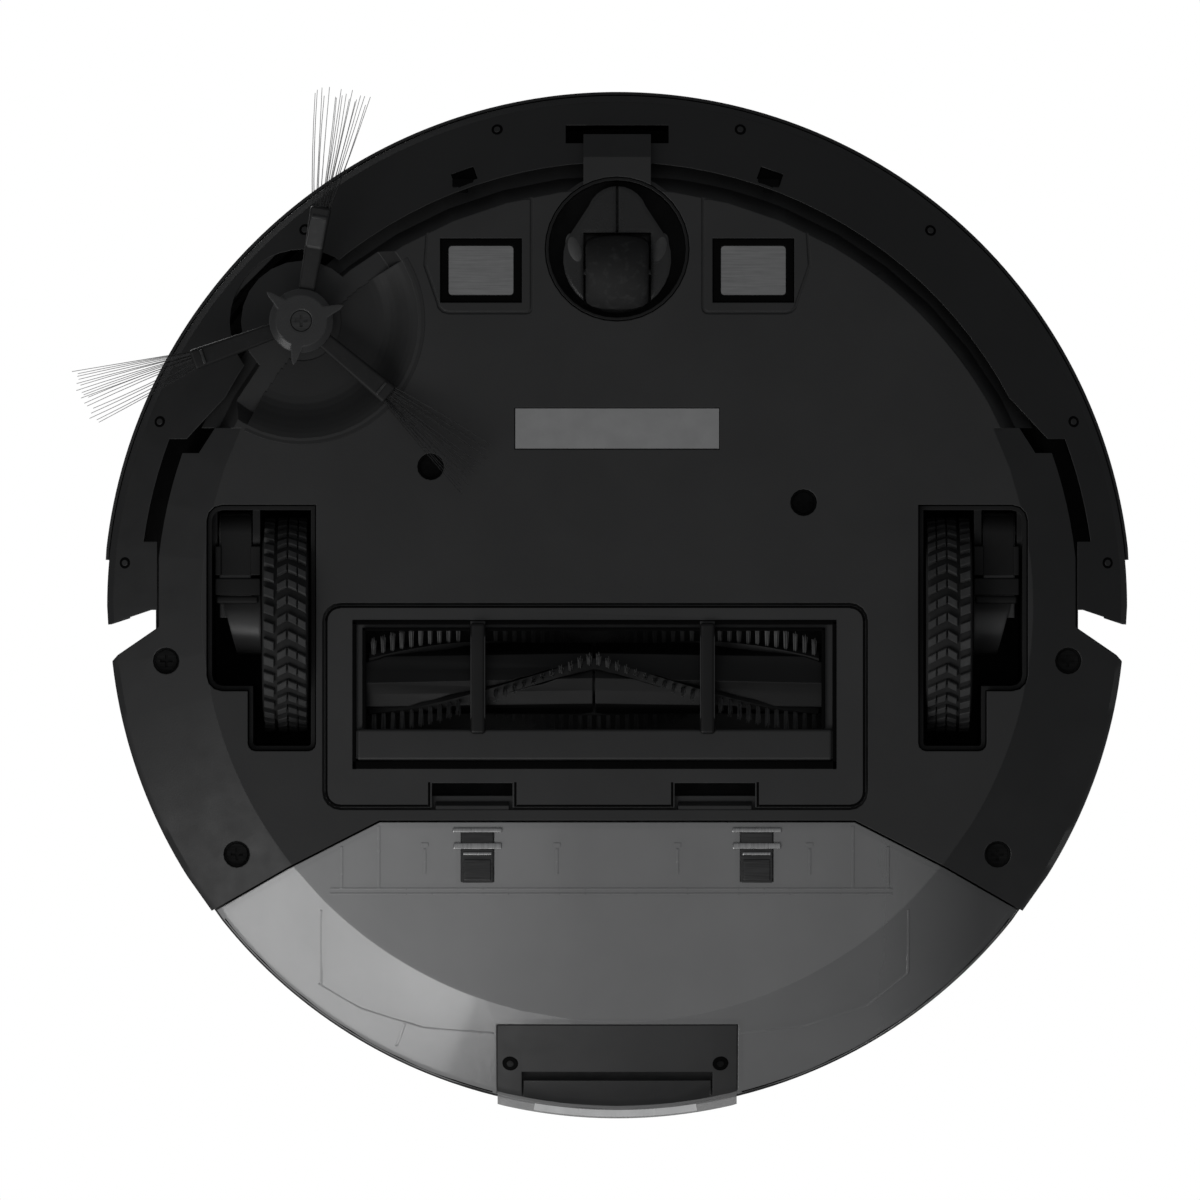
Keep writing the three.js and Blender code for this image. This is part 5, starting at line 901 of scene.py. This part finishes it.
random.seed(5)
bm = bmesh.new()
for angle in ARMS:
    place = turned_arm(angle)
    for side, middle, spread, count in FANS:
        for i in range(count):
            share = i / (count - 1) - 0.5
            lean = math.radians(middle + share * spread + random.uniform(-0.3, 0.3))
            reach = BRUSH_SWEEP - random.uniform(0.2, 4) * MM
            root_z = (FAN_ROOT_Z + random.uniform(-0.6, 0.6)) * MM
            root = Vector((ARM_REACH - 1.5 * MM, (side * 1.4 + share * 2.4) * MM, root_z))
            tip_z = (FAN_TIP_Z + random.uniform(-0.6, 0.6)) * MM
            tip = Vector((reach * math.cos(lean), reach * math.sin(lean), tip_z))
            bow = Vector((0, side * random.uniform(0.0, 0.5) * MM, random.uniform(0, 0.3) * MM))
            add_strand(bm, place @ root, place @ tip, FAN_STRAND_WIDTH, place.to_3x3() @ bow, 4)
finish_bm(
    bm, "side_brush_strands", "side_brush", "side_bristle", ["side_brush_spider"], weigh=False,
)

# %% [markdown]
# ## The tyres
#
# A tyre's tread has a wide row of chevrons and a narrow outer row of slanted blocks. A bump texture
# would be less work, but it would leave the outline smooth. So the band is a profile spun about the
# axle, and each lug is a small block, sheared and rounded, set round the band again and again.

# %% A lug and the band
WHEEL_Y, WHEEL_R = 6, 34.5
TYRE_IN, TYRE_W, RIM_R = 98.9, 14.8, 27
TREAD, LUGS = 1.6, 38
BAND_R = WHEEL_R - TREAD
BAND_PROFILE = [
    (0, RIM_R), (0, BAND_R - 1.6), (0.5, BAND_R - 0.5), (1.5, BAND_R), (TYRE_W - 1.5, BAND_R),
    (TYRE_W - 0.5, BAND_R - 0.5), (TYRE_W, BAND_R - 1.6), (TYRE_W, RIM_R),
]
# The two ends of each lug across the tread, their lean, its thickness and its start in degrees.
LUG_KINDS = [(0.6, 3.2, 5.6, 3.2, 4.4, 0), (3.6, 6.4, 2.8, 0.5, 4.4, 0), (6.9, 9.9, 0.5, 3.4, 4.4, 0),
             (10.9, 14.2, 2.6, 0.5, 5.0, 4.5)]


def add_lug(bm, x0, x1, lean0, lean1, thick_deg, turn_deg):
    corners = []
    for x, lean in ((x0, lean0), (x1, lean1)):
        for radius in (BAND_R - 0.4, WHEEL_R - 0.02):
            for side in (-0.5, 0.5):
                angle = math.radians(turn_deg + lean + side * thick_deg)
                place = Vector((x, radius * math.cos(angle), radius * math.sin(angle)))
                corners.append(bm.verts.new(place * MM))
    low0, low1, high0, high1, far_low0, far_low1, far_high0, far_high1 = corners
    for face in ((low0, low1, high1, high0), (far_low0, far_high0, far_high1, far_low1),
                 (low0, far_low0, far_low1, low1), (high0, high1, far_high1, far_high0),
                 (low0, high0, far_high0, far_low0), (low1, far_low1, far_high1, high1)):
        bm.faces.new(face)
    highs = (high0, high1, far_high0, far_high1)
    bevel(bm, {e for v in highs for e in v.link_edges if e.other_vert(v) in highs}, 0.25, 1)


def lugs_bm():
    bm = bmesh.new()
    for i in range(LUGS):
        for *shape, start in LUG_KINDS:
            add_lug(bm, *shape, i * 360 / LUGS + start)
    return bm


print(LUGS * len(LUG_KINDS), "lugs on a tyre")

# %% [markdown]
# The tyres mirror each other, so the right one is made like the left one and scaled by -1 across. The
# band and the lugs are pieces of their own: worn lugs are paler, and the band between them is darker
# as painted shade in the grooves.

# %% Both tyres
for name, side in (("left", 1), ("right", -1)):
    band = spun([(x, radius, 0) for x, radius in BAND_PROFILE], (1, 0, 0), 96)
    for part, bm, finish in (("band", band, "tyre_band_painted_shade"), ("lugs", lugs_bm(), "tyre_rubber")):
        bmesh.ops.scale(bm, vec=(side, 1, 1), verts=bm.verts)
        bmesh.ops.translate(bm, vec=Vector((side * TYRE_IN, WHEEL_Y, WHEEL_R)) * MM, verts=bm.verts)
        finish_bm(
            bm, f"tyre_{name}_{part}", f"wheel_{name}", finish, [f"tyre_{name}"],
        )

# %% [markdown]
# ## Marks on the underside
#
# Screw heads, clips and thin moulded lines sit on surfaces whose height changes from place to place.
# A ray sent up from below finds the height and the slope there, so nothing floats or sinks in. A line
# is a row of thin bars, each from one found place to the next.

# %% Finding a surface
RAY_START = -10


def tree_of(*names):
    """The surfaces of some CAD nodes, for rays to find."""
    points, faces = [], []
    for name in names:
        mesh, start = nodes[name].data, len(points)
        points += [v.co.copy() for v in mesh.vertices]
        faces += [[start + i for i in face.vertices] for face in mesh.polygons]
    return BVHTree.FromPolygons(points, faces)


def underside(tree, x, y):
    """The lowest point at x and y, and the direction out of the surface there."""
    place, normal, _, _ = tree.ray_cast(Vector((x, y, RAY_START)) * MM, Vector((0, 0, 1)))
    return place, normal


bumper_tree = tree_of("bumper_shell", "chassis_base")
latch_tree = tree_of("bin_latch_block")
bin_tree = tree_of("bin_body")
print("the lip is", round(underside(bumper_tree, 0, -150)[0].z / MM, 1), "mm up in front")

# %% Bars and lines
def add_bar(bm, start, end, width, height):
    """A straight bar from one place to another."""
    along = end - start
    turn = along.to_track_quat("X", "Z").to_matrix().to_4x4()
    size = Matrix.Diagonal((along.length, width * MM, height * MM, 1))
    bmesh.ops.create_cube(bm, size=1, matrix=Matrix.Translation((start + end) / 2) @ turn @ size)


def add_line(bm, points, width, proud, step=4):
    """A thin raised line that follows the bin's underside through the given places."""
    path = []
    for (x0, y0), (x1, y1) in zip(points, points[1:]):
        count = max(1, round(math.hypot(x1 - x0, y1 - y0) / step))
        path += [(x0 + (x1 - x0) * i / count, y0 + (y1 - y0) * i / count) for i in range(count)]
    places = [underside(bin_tree, x, y)[0] for x, y in path + [points[-1]]]
    for start, end in zip(places, places[1:]):
        if start and end:
            add_bar(bm, start, end, width, 2 * proud)


def arc(radius, start_deg, end_deg, count=40, centre=(0, 0)):
    """Places on a circle, about the machine's middle unless a centre is given."""
    turns = [math.radians(start_deg + (end_deg - start_deg) * i / count) for i in range(count + 1)]
    return [(centre[0] + radius * math.cos(t), centre[1] + radius * math.sin(t)) for t in turns]


print("a line has a bar about every 4 mm")

# %% [markdown]
# ## Small screws
#
# Short screws hold the bumper's lip and the bin's latch block. Each is a dark well with a head in
# it; the well is a near-black disc, painted shade. At this size a head needs no drive cut: a dark disc
# and a paler one inside it read as a screw.

# %% Small screws
BUMPER_SCREWS = [(-146.7, -59.1), (-157.9, -13.8), (146.4, -59.1), (157.3, -13.8), (100.5, -120.4),
                 (-100.2, -120.7), (-38.5, -152.8), (39.5, -152.8)]
LATCH_SCREWS = [(-34.3, 146.7), (33.1, 146.7)]


def add_head(bm, place, normal, radius, proud):
    """A short round head, proud of the surface by a little and sunk in as far again."""
    turn = normal.to_track_quat("Z", "X").to_matrix().to_4x4()
    bmesh.ops.create_cone(
        bm, cap_ends=True, segments=20, radius1=radius * MM, radius2=(radius - 0.1) * MM,
        depth=2 * proud * MM, matrix=Matrix.Translation(place) @ turn,
    )


def add_screws(name, body, tree, places, well, head, head_finish):
    """Wells and heads at some places. well and head are a radius and how far it stands proud."""
    wells, heads = bmesh.new(), bmesh.new()
    for x, y in places:
        place, normal = underside(tree, x, y)
        add_head(wells, place, normal, *well)
        add_head(heads, place, normal, *head)
    finish_bm(wells, f"{name}_screw_wells", body, "painted_shade_black")
    finish_bm(heads, f"{name}_screw_heads", body, head_finish)


add_screws("bumper", "bumper", bumper_tree, BUMPER_SCREWS, (1.9, 0.12), (1.1, 0.2), "bumper_plastic")
add_screws("latch", "dust_bin", latch_tree, LATCH_SCREWS, (2.6, 0.15), (1.2, 0.25), "black_steel")

# %% [markdown]
# Two small hooks catch the bumper's lip beside the caster, and show as a dark step in it. A cut in the
# shell would need a boolean, which leaves poor shading round it. Two thin black blocks, a wide one and
# a narrow one behind it, stand in for the step: painted shade.

# %% Lip hooks
HOOKS_X, HOOK_Y = (-49.4, 48.5), -135.1
# Half the width, the front and the rear of the hook's wide part and of its narrow part.
HOOK_PARTS = [(3.4, -136.9, -134.2), (1.6, -134.6, -132.4)]
bm = bmesh.new()
for x in HOOKS_X:
    z = underside(bumper_tree, x, HOOK_Y)[0].z / MM
    add_plates(bm, [(x - half, x + half, *ends) for half, *ends in HOOK_PARTS], z - 0.25, z + 0.6, 0.3)
finish_bm(bm, "lip_hooks", "bumper", "painted_shade_black")

# %% [markdown]
# ## The contacts' frames
#
# Each charge contact lies in a recess whose frame is much blacker than the tray round it, and that
# black is painted shade. The frame could be painted on the tray's mesh, but then its edge would follow
# the mesh's triangles. Four bars round the recess give it a crisp edge and a finish of its own.

# %% Contact frames
CONTACT_X, CONTACT_Y = 43.6, -107.4
FRAME_X, FRAME_Y, FRAME_Z = (10.5, 13.0), (7.95, 10.2), (9.7, 11.3)
LONG_HALF = 10.6
bm = bmesh.new()
for x in (-CONTACT_X, CONTACT_X):
    for side in (-1, 1):
        ends = [x + side * edge for edge in FRAME_X] + [CONTACT_Y - FRAME_Y[1], CONTACT_Y + FRAME_Y[1]]
        rows = [x - LONG_HALF, x + LONG_HALF] + [CONTACT_Y + side * edge for edge in FRAME_Y]
        add_plates(bm, [ends, rows], *FRAME_Z, 0.25)
finish_bm(bm, "contact_frames", "main_body", "painted_shade_black")

# %% [markdown]
# ## The side brush's bowl
#
# The bowl round the side brush is dished, with no corner between its floor and its slope. A bevel
# between the CAD model's two faces would round only a narrow strip, so one profile spun about the hub
# gives the whole curve. The faces that the bumper would hide are left out.

# %% The dished bowl
# Distance from the hub and height, from the bowl's floor out to just proud of the tray.
BOWL_PROFILE = [(12.6, 13.8), (24, 13.8), (26.5, 13.65), (28.5, 13.1), (30.5, 12.15), (32.5, 11.0),
                (34.5, 9.95), (35.9, 9.4), (37.4, 9.06), (39.6, 8.93)]
TRAY_R, TRAY_Y = 133.8, 3.6
TRAY_LOW, BOWL_TOP = 8.9, 14.4
BOWL_SKIN = 0.15 * MM

bm = spun([(radius, 0, z) for radius, z in BOWL_PROFILE], (0, 0, 1), 300, closed=False, cuts=5)
bmesh.ops.translate(bm, vec=HUB, verts=bm.verts)
hidden = []
for face in bm.faces:
    middle = face.calc_center_median() / MM
    place, _ = underside(bumper_tree, middle.x, middle.y)
    on_tray = math.hypot(middle.x, middle.y - TRAY_Y) < TRAY_R
    if not on_tray or place is None or not TRAY_LOW < place.z / MM < BOWL_TOP:
        hidden.append(face)
bmesh.ops.delete(bm, geom=hidden, context="FACES")
for face in bm.faces:
    face.normal_update()
if sum(face.normal.z for face in bm.faces) > 0:
    bmesh.ops.reverse_faces(bm, faces=bm.faces)
bmesh.ops.solidify(bm, geom=bm.faces[:], thickness=BOWL_SKIN)
finish_bm(bm, "side_brush_bowl", "main_body", "bowl_plastic")

# %% [markdown]
# One arm of the side brush shows a pale sheath, a painted highlight where that arm catches the light,
# and a metal clip holds the strands of each. They are rounded blocks, made along X, where their sides
# are easy to place, and then turned to their arm.

# %% Sheath and clips
bm = bmesh.new()
# The pale sheath on one arm is a painted highlight.
add_block(bm, (23.5, -2.7, 3.4), (34.5, 2.7, 5.6), 0.9, 3)
bmesh.ops.transform(bm, matrix=turned_arm(ARMS[0]), verts=bm.verts)
finish_bm(bm, "side_brush_arm_highlight", "side_brush", "soft_grey")
bm = bmesh.new()
for angle in ARMS:
    clip = bmesh.new()
    add_block(clip, (33.0, -2.4, 3.2), (34.0, 2.4, 6.2), 0.2)
    bmesh.ops.transform(clip, matrix=turned_arm(angle), verts=clip.verts)
    join_into(bm, clip)
finish_bm(bm, "side_brush_clips", "side_brush", "clip_metal")

# %% [markdown]
# ## The caster
#
# The caster's wheel is one wide barrel with rounded shoulders. The CAD wheel has fewer steps, which
# would show in the close light, so it is spun anew from its profile. The fork's cheeks bulge beside it,
# and a flattened pale ball, half sunk in each cheek, is a painted highlight there.

# %% The caster's wheel, and painted highlights on its fork
CASTER_AXLE = Vector((0, -106.9, 12.0)) * MM
BARREL = [(-10.1, 2.2), (-10.1, 8.6), (-9.6, 10.0), (-8.2, 11.0), (-5.5, 11.7), (-2, 11.95), (2, 11.95),
          (5.5, 11.7), (8.2, 11.0), (9.6, 10.0), (10.1, 8.6), (10.1, 2.2)]
SHOULDER_X, SHOULDER_Y, SHOULDER_Z, SHOULDER_TURN = 13.6, -114.2, 9.3, 18
SHOULDER_HALVES = (2.6 * MM, 5.4 * MM, 1.1 * MM, 1)

bm = spun([(x, radius, 0) for x, radius in BARREL], (1, 0, 0), 64)
bmesh.ops.translate(bm, vec=CASTER_AXLE, verts=bm.verts)
finish_bm(
    bm, "caster_wheel_barrel", body_of_node["caster_wheel"], "rubber", ["caster_wheel"], 40,
)
# Painted highlights: a flattened pale grey ball in each of the fork's cheeks.
bm = bmesh.new()
for side in (-1, 1):
    place = Matrix.Translation(Vector((side * SHOULDER_X, SHOULDER_Y, SHOULDER_Z)) * MM)
    turn = Matrix.Rotation(math.radians(side * SHOULDER_TURN), 4, "Z")
    shape = place @ turn @ Matrix.Diagonal(SHOULDER_HALVES)
    bmesh.ops.create_uvsphere(bm, u_segments=20, v_segments=12, radius=1, matrix=shape)
finish_bm(bm, "caster_cheek_highlights", body_of_node["caster_fork"], "soft_grey")

# %% [markdown]
# ## Arm covers in the wheel pockets
#
# A thin cover hides the pivot of each drive wheel's arm and swings down with it by 35 degrees. A plain
# block would cut into the housing's wall on the way, so the cover's front is curved about the pivot:
# it is an outline with two arcs, made into a prism. Its corners start behind the pivot's two lugs.

# %% Arm covers
PIVOT_Y, PIVOT_Z = -23.5, 24.0
COVER_R, COVER_INNER_R, COVER_TURN = 7.15, 6.7, 48
COVER_X, BETWEEN_LUGS_X, COVER_REAR_Y = (114.3, 128.9), (117.2, 127.2), -9.8
CORNERS_X, CORNER_Y, CORNER_Z = [(114.3, 117.5), (126.9, 128.9)], -19.2, (15.9, 17.1)
BELOW, FRONT = -90, -90 - COVER_TURN

pivot = (PIVOT_Y, PIVOT_Z)
outline = [(COVER_REAR_Y, PIVOT_Z - COVER_INNER_R), (COVER_REAR_Y, PIVOT_Z - COVER_R)]
outline += arc(COVER_R, BELOW, FRONT, 8, pivot) + arc(COVER_INNER_R, FRONT, BELOW, 8, pivot)
for name, side in (("left", 1), ("right", -1)):
    x0, x1 = (side * x for x in COVER_X)
    bm = bmesh.new()
    add_prism(bm, outline, *(side * x for x in BETWEEN_LUGS_X))
    corners = [(side * near, side * far, CORNER_Y, COVER_REAR_Y) for near, far in CORNERS_X]
    add_plates(bm, corners, *CORNER_Z, 0.4)
    add_block(bm, (x0, -8.9, 15.9), (x1, -3.4, 17.0), 0.5)
    low, high = sorted((x0, x1))
    add_block(bm, (low + 0.4, -3.2, 15.3), (high - 0.6, -0.7, 17.0), 0.8, 3)
    # The covers' finish is the pockets' painted shade.
    finish_bm(
        bm, f"arm_cover_{name}", body_of_node[f"drive_gearbox_{name}"], "pocket_painted_shade",
    )

# %% [markdown]
# ## The brush guard's frame and bars
#
# The guard's window has a raised dark lip, near black as painted shade for the deep opening, and its
# two bars are rounded. They could be cut and bevelled in a copy of the guard's mesh, but blocks with
# rounded edges, laid on it, leave its shape as the CAD model gives it. They ride the guard's body, so
# they open with it.

# %% The guard's lip and bars
GUARD = body_of_node["brush_cover"]
LIP_Z, BAR_Y, BAR_Z, BAR_HALF = (8.7, 9.5), (5.4, 41.0), (6.6, 9.4), 2.45
LIP_PLATES = [
    (-84.8, -83.5, 5.0, 52.3), (68.9, 70.2, 5.0, 52.3), (-84.8, 70.2, 4.5, 6.0), (-84.8, 70.2, 49.6, 52.2),
    (-81.6, -80.4, 7.2, 39.2), (65.4, 66.6, 7.2, 39.2), (-81.6, 66.6, 6.9, 8.0),
]
bm = bmesh.new()
add_plates(bm, LIP_PLATES, *LIP_Z, 0.2)
finish_bm(bm, "guard_lip", GUARD, "painted_shade_black")
bm = bmesh.new()
add_plates(bm, [(x - BAR_HALF, x + BAR_HALF, *BAR_Y) for x in BAR_X], *BAR_Z, 1.1, 3)
finish_bm(bm, "guard_bars", GUARD, "bar_plastic")

# %% [markdown]
# A dark gap runs round the guard, where it meets the tray, and steps in at the two latches. A groove
# would take a boolean in both pieces. A line of black strips, with a quarter circle of short bars at
# each corner, looks the same from outside: its black is painted shade in the gap.

# %% The guard's edge line
EDGE_Z, EDGE_WIDTH, EDGE_CORNER_R = (8.92, 9.4), 0.8, 4.4
EDGE_PLATES = [
    (-93.5, -92.7, 4.0, 60.4), (78.6, 79.4, 4.0, 60.4), (-89.0, 75.0, -0.1, 0.7), (-89.0, -60.6, 63.6, 64.4),
    (-32.2, 17.2, 63.6, 64.4), (45.4, 75.0, 63.6, 64.4), (-60.6, -59.8, 56.4, 64.4),
    (-33.0, -32.2, 56.4, 64.4), (17.2, 18.0, 56.4, 64.4), (44.6, 45.4, 56.4, 64.4),
]
EDGE_CORNERS = [((-88.7, 4.8), 180), ((74.6, 4.8), 270), ((74.6, 59.6), 0), ((-88.7, 59.6), 90)]
edge_low, edge_high = EDGE_Z
bm = bmesh.new()
add_plates(bm, EDGE_PLATES, *EDGE_Z, 0.1, 1)
for centre, start in EDGE_CORNERS:
    corner = arc(EDGE_CORNER_R, start, start + 90, 6, centre)
    places = [Vector((x, y, (edge_low + edge_high) / 2)) * MM for x, y in corner]
    for pair in zip(places, places[1:]):
        add_bar(bm, *pair, EDGE_WIDTH, edge_high - edge_low)
finish_bm(bm, "guard_edge_line", GUARD, "painted_shade_black")

# %% [markdown]
# A scraper rail along the window's rear edge stops what the brush throws back. It is one bar, and its
# bevel has three segments, so that its long edges give a soft highlight and not a hard line.

# %% The scraper rail
bm = bmesh.new()
add_block(bm, (-83.3, 39.4, 8.2), (68.8, 49.4, 10.6), 0.9, 3)
finish_bm(bm, "scraper_rail", GUARD, "body_plastic", ["scraper_strip"])

# %% [markdown]
# ## The dust bin's clips
#
# Two spring clips of sheet steel hold the bin's front edge. Each is bent from one strip, and could be
# an outline with a thickness. Only a dark tongue and three bright cross bars show, so rounded blocks
# are enough, in two pieces: the tongue in the steel's colour, and the bars in a paler copy of it, a
# painted highlight on the strip's bends.

# %% Bin clips
CLIP_X = 44.7
# Half the width, front, rear, underside, top and rounding. A bar has the first three only.
TONGUES = [(5.1, 72.4, 88.8, 8.9, 10.0, 0.4), (4.4, 81.0, 88.0, 8.6, 9.4, 0.5)]
CLIP_BARS, CLIP_BAR_Z = [(7.9, 71.0, 72.5), (7.7, 75.8, 77.8), (4.6, 78.7, 79.8)], (8.4, 9.4)
for name, middle in (("left", CLIP_X), ("right", -CLIP_X)):
    tongue, bars = bmesh.new(), bmesh.new()
    for half, front, rear, z0, z1, round_mm in TONGUES:
        add_block(tongue, (middle - half, front, z0), (middle + half, rear, z1), round_mm)
    plates = [(middle - half, middle + half, front, rear) for half, front, rear in CLIP_BARS]
    add_plates(bars, plates, *CLIP_BAR_Z, 0.35)
    clip, body = f"bin_clip_{name}", body_of_node[f"bin_clip_{name}"]
    finish_bm(tongue, clip + "_tongue", body, "clip_metal", [clip])
    # The bars' paler steel is a painted highlight.
    finish_bm(bars, clip + "_bars", body, "clip_painted_highlight", [clip])

# %% [markdown]
# ## The dust bin's moulded lines
#
# The ramp behind the bin's front edge has thin ribs and a double step, and inner walls show through
# the chamfer as faint lines. A texture could draw them, but it would have no edge to catch the light.
# Thin raised bars that follow the bin's surface do.

# %% Ribs and lines of the bin
OUTER_RIBS_X, INNER_RIBS_X = (-88.3, -76.4, 75.4, 86.7), (-61.6, -19.3, 19.3, 61.6)
STEPS_Y, STEP_ENDS_X = (90.6, 92.2), (-92, 88)
INNER_WALLS = [
    [(-94.7, 97.3), (-94.9, 121.7)], [(93.1, 97.3), (93.1, 117.5)],
    [(-95.7, 121.0), (-82, 129.0), (-62, 135.0), (-39.5, 136.8)],
    [(93.1, 117.5), (80, 128.0), (60, 134.5), (39.5, 136.8)], [(-68.1, 133.9), (-71.9, 144.1)],
]
bm = bmesh.new()
for x in OUTER_RIBS_X:
    add_line(bm, [(x, 77 if abs(x) > 80 else 70.5), (x, 90.4)], 1.0, 0.14)
for x in INNER_RIBS_X:
    add_line(bm, [(x, 77.7), (x, 86.0)], 0.9, 0.14)
    add_line(bm, [(x - 1.2, 76.4), (x + 1.2, 76.4)], 1.2, 0.12)
for y in STEPS_Y:
    add_line(bm, [(x, y) for x in STEP_ENDS_X], 0.7, 0.14, 8)
for wall in INNER_WALLS:
    add_line(bm, wall, 0.9, 0.14)
finish_bm(bm, "bin_ribs", "dust_bin", "smoky_clear")

# %% [markdown]
# A dark line follows the bin's outer rim, and the clear lip behind the latch block is paler than the
# rest. The line is painted shade, and the lip's paleness painted light. Both are arcs laid on the bin's
# surface, made as the ribs are, with a finish of their own each.

# %% The rim's line and the clear lip
# Painted light: near white for the clear lip.
plain("clear_lip_painted_light", 0.72, 0.85, 0.3)
RIM_LINE_R, RIM_LINE_TURNS = 160.9, [(38.6, 75.6), (104.4, 141.4)]
CLEAR_LIP_R, CLEAR_LIP_TURN = 163.0, (81, 99.4)
bm = bmesh.new()
for turn in RIM_LINE_TURNS:
    add_line(bm, arc(RIM_LINE_R, *turn), 0.5, 0.15)
# The rim line's near black is painted shade.
finish_bm(bm, "bin_rim_line", "dust_bin", "painted_shade_black")
bm = bmesh.new()
# The lip's pale colour is painted light.
add_line(bm, arc(CLEAR_LIP_R, *CLEAR_LIP_TURN), 2.2, 0.12, 3)
finish_bm(bm, "bin_lip_edge", "dust_bin", "clear_lip_painted_light")

# %% [markdown]
#
# The box round the dressed machine is found, from every shown piece but the floor.

# %% Sizes
low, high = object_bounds()
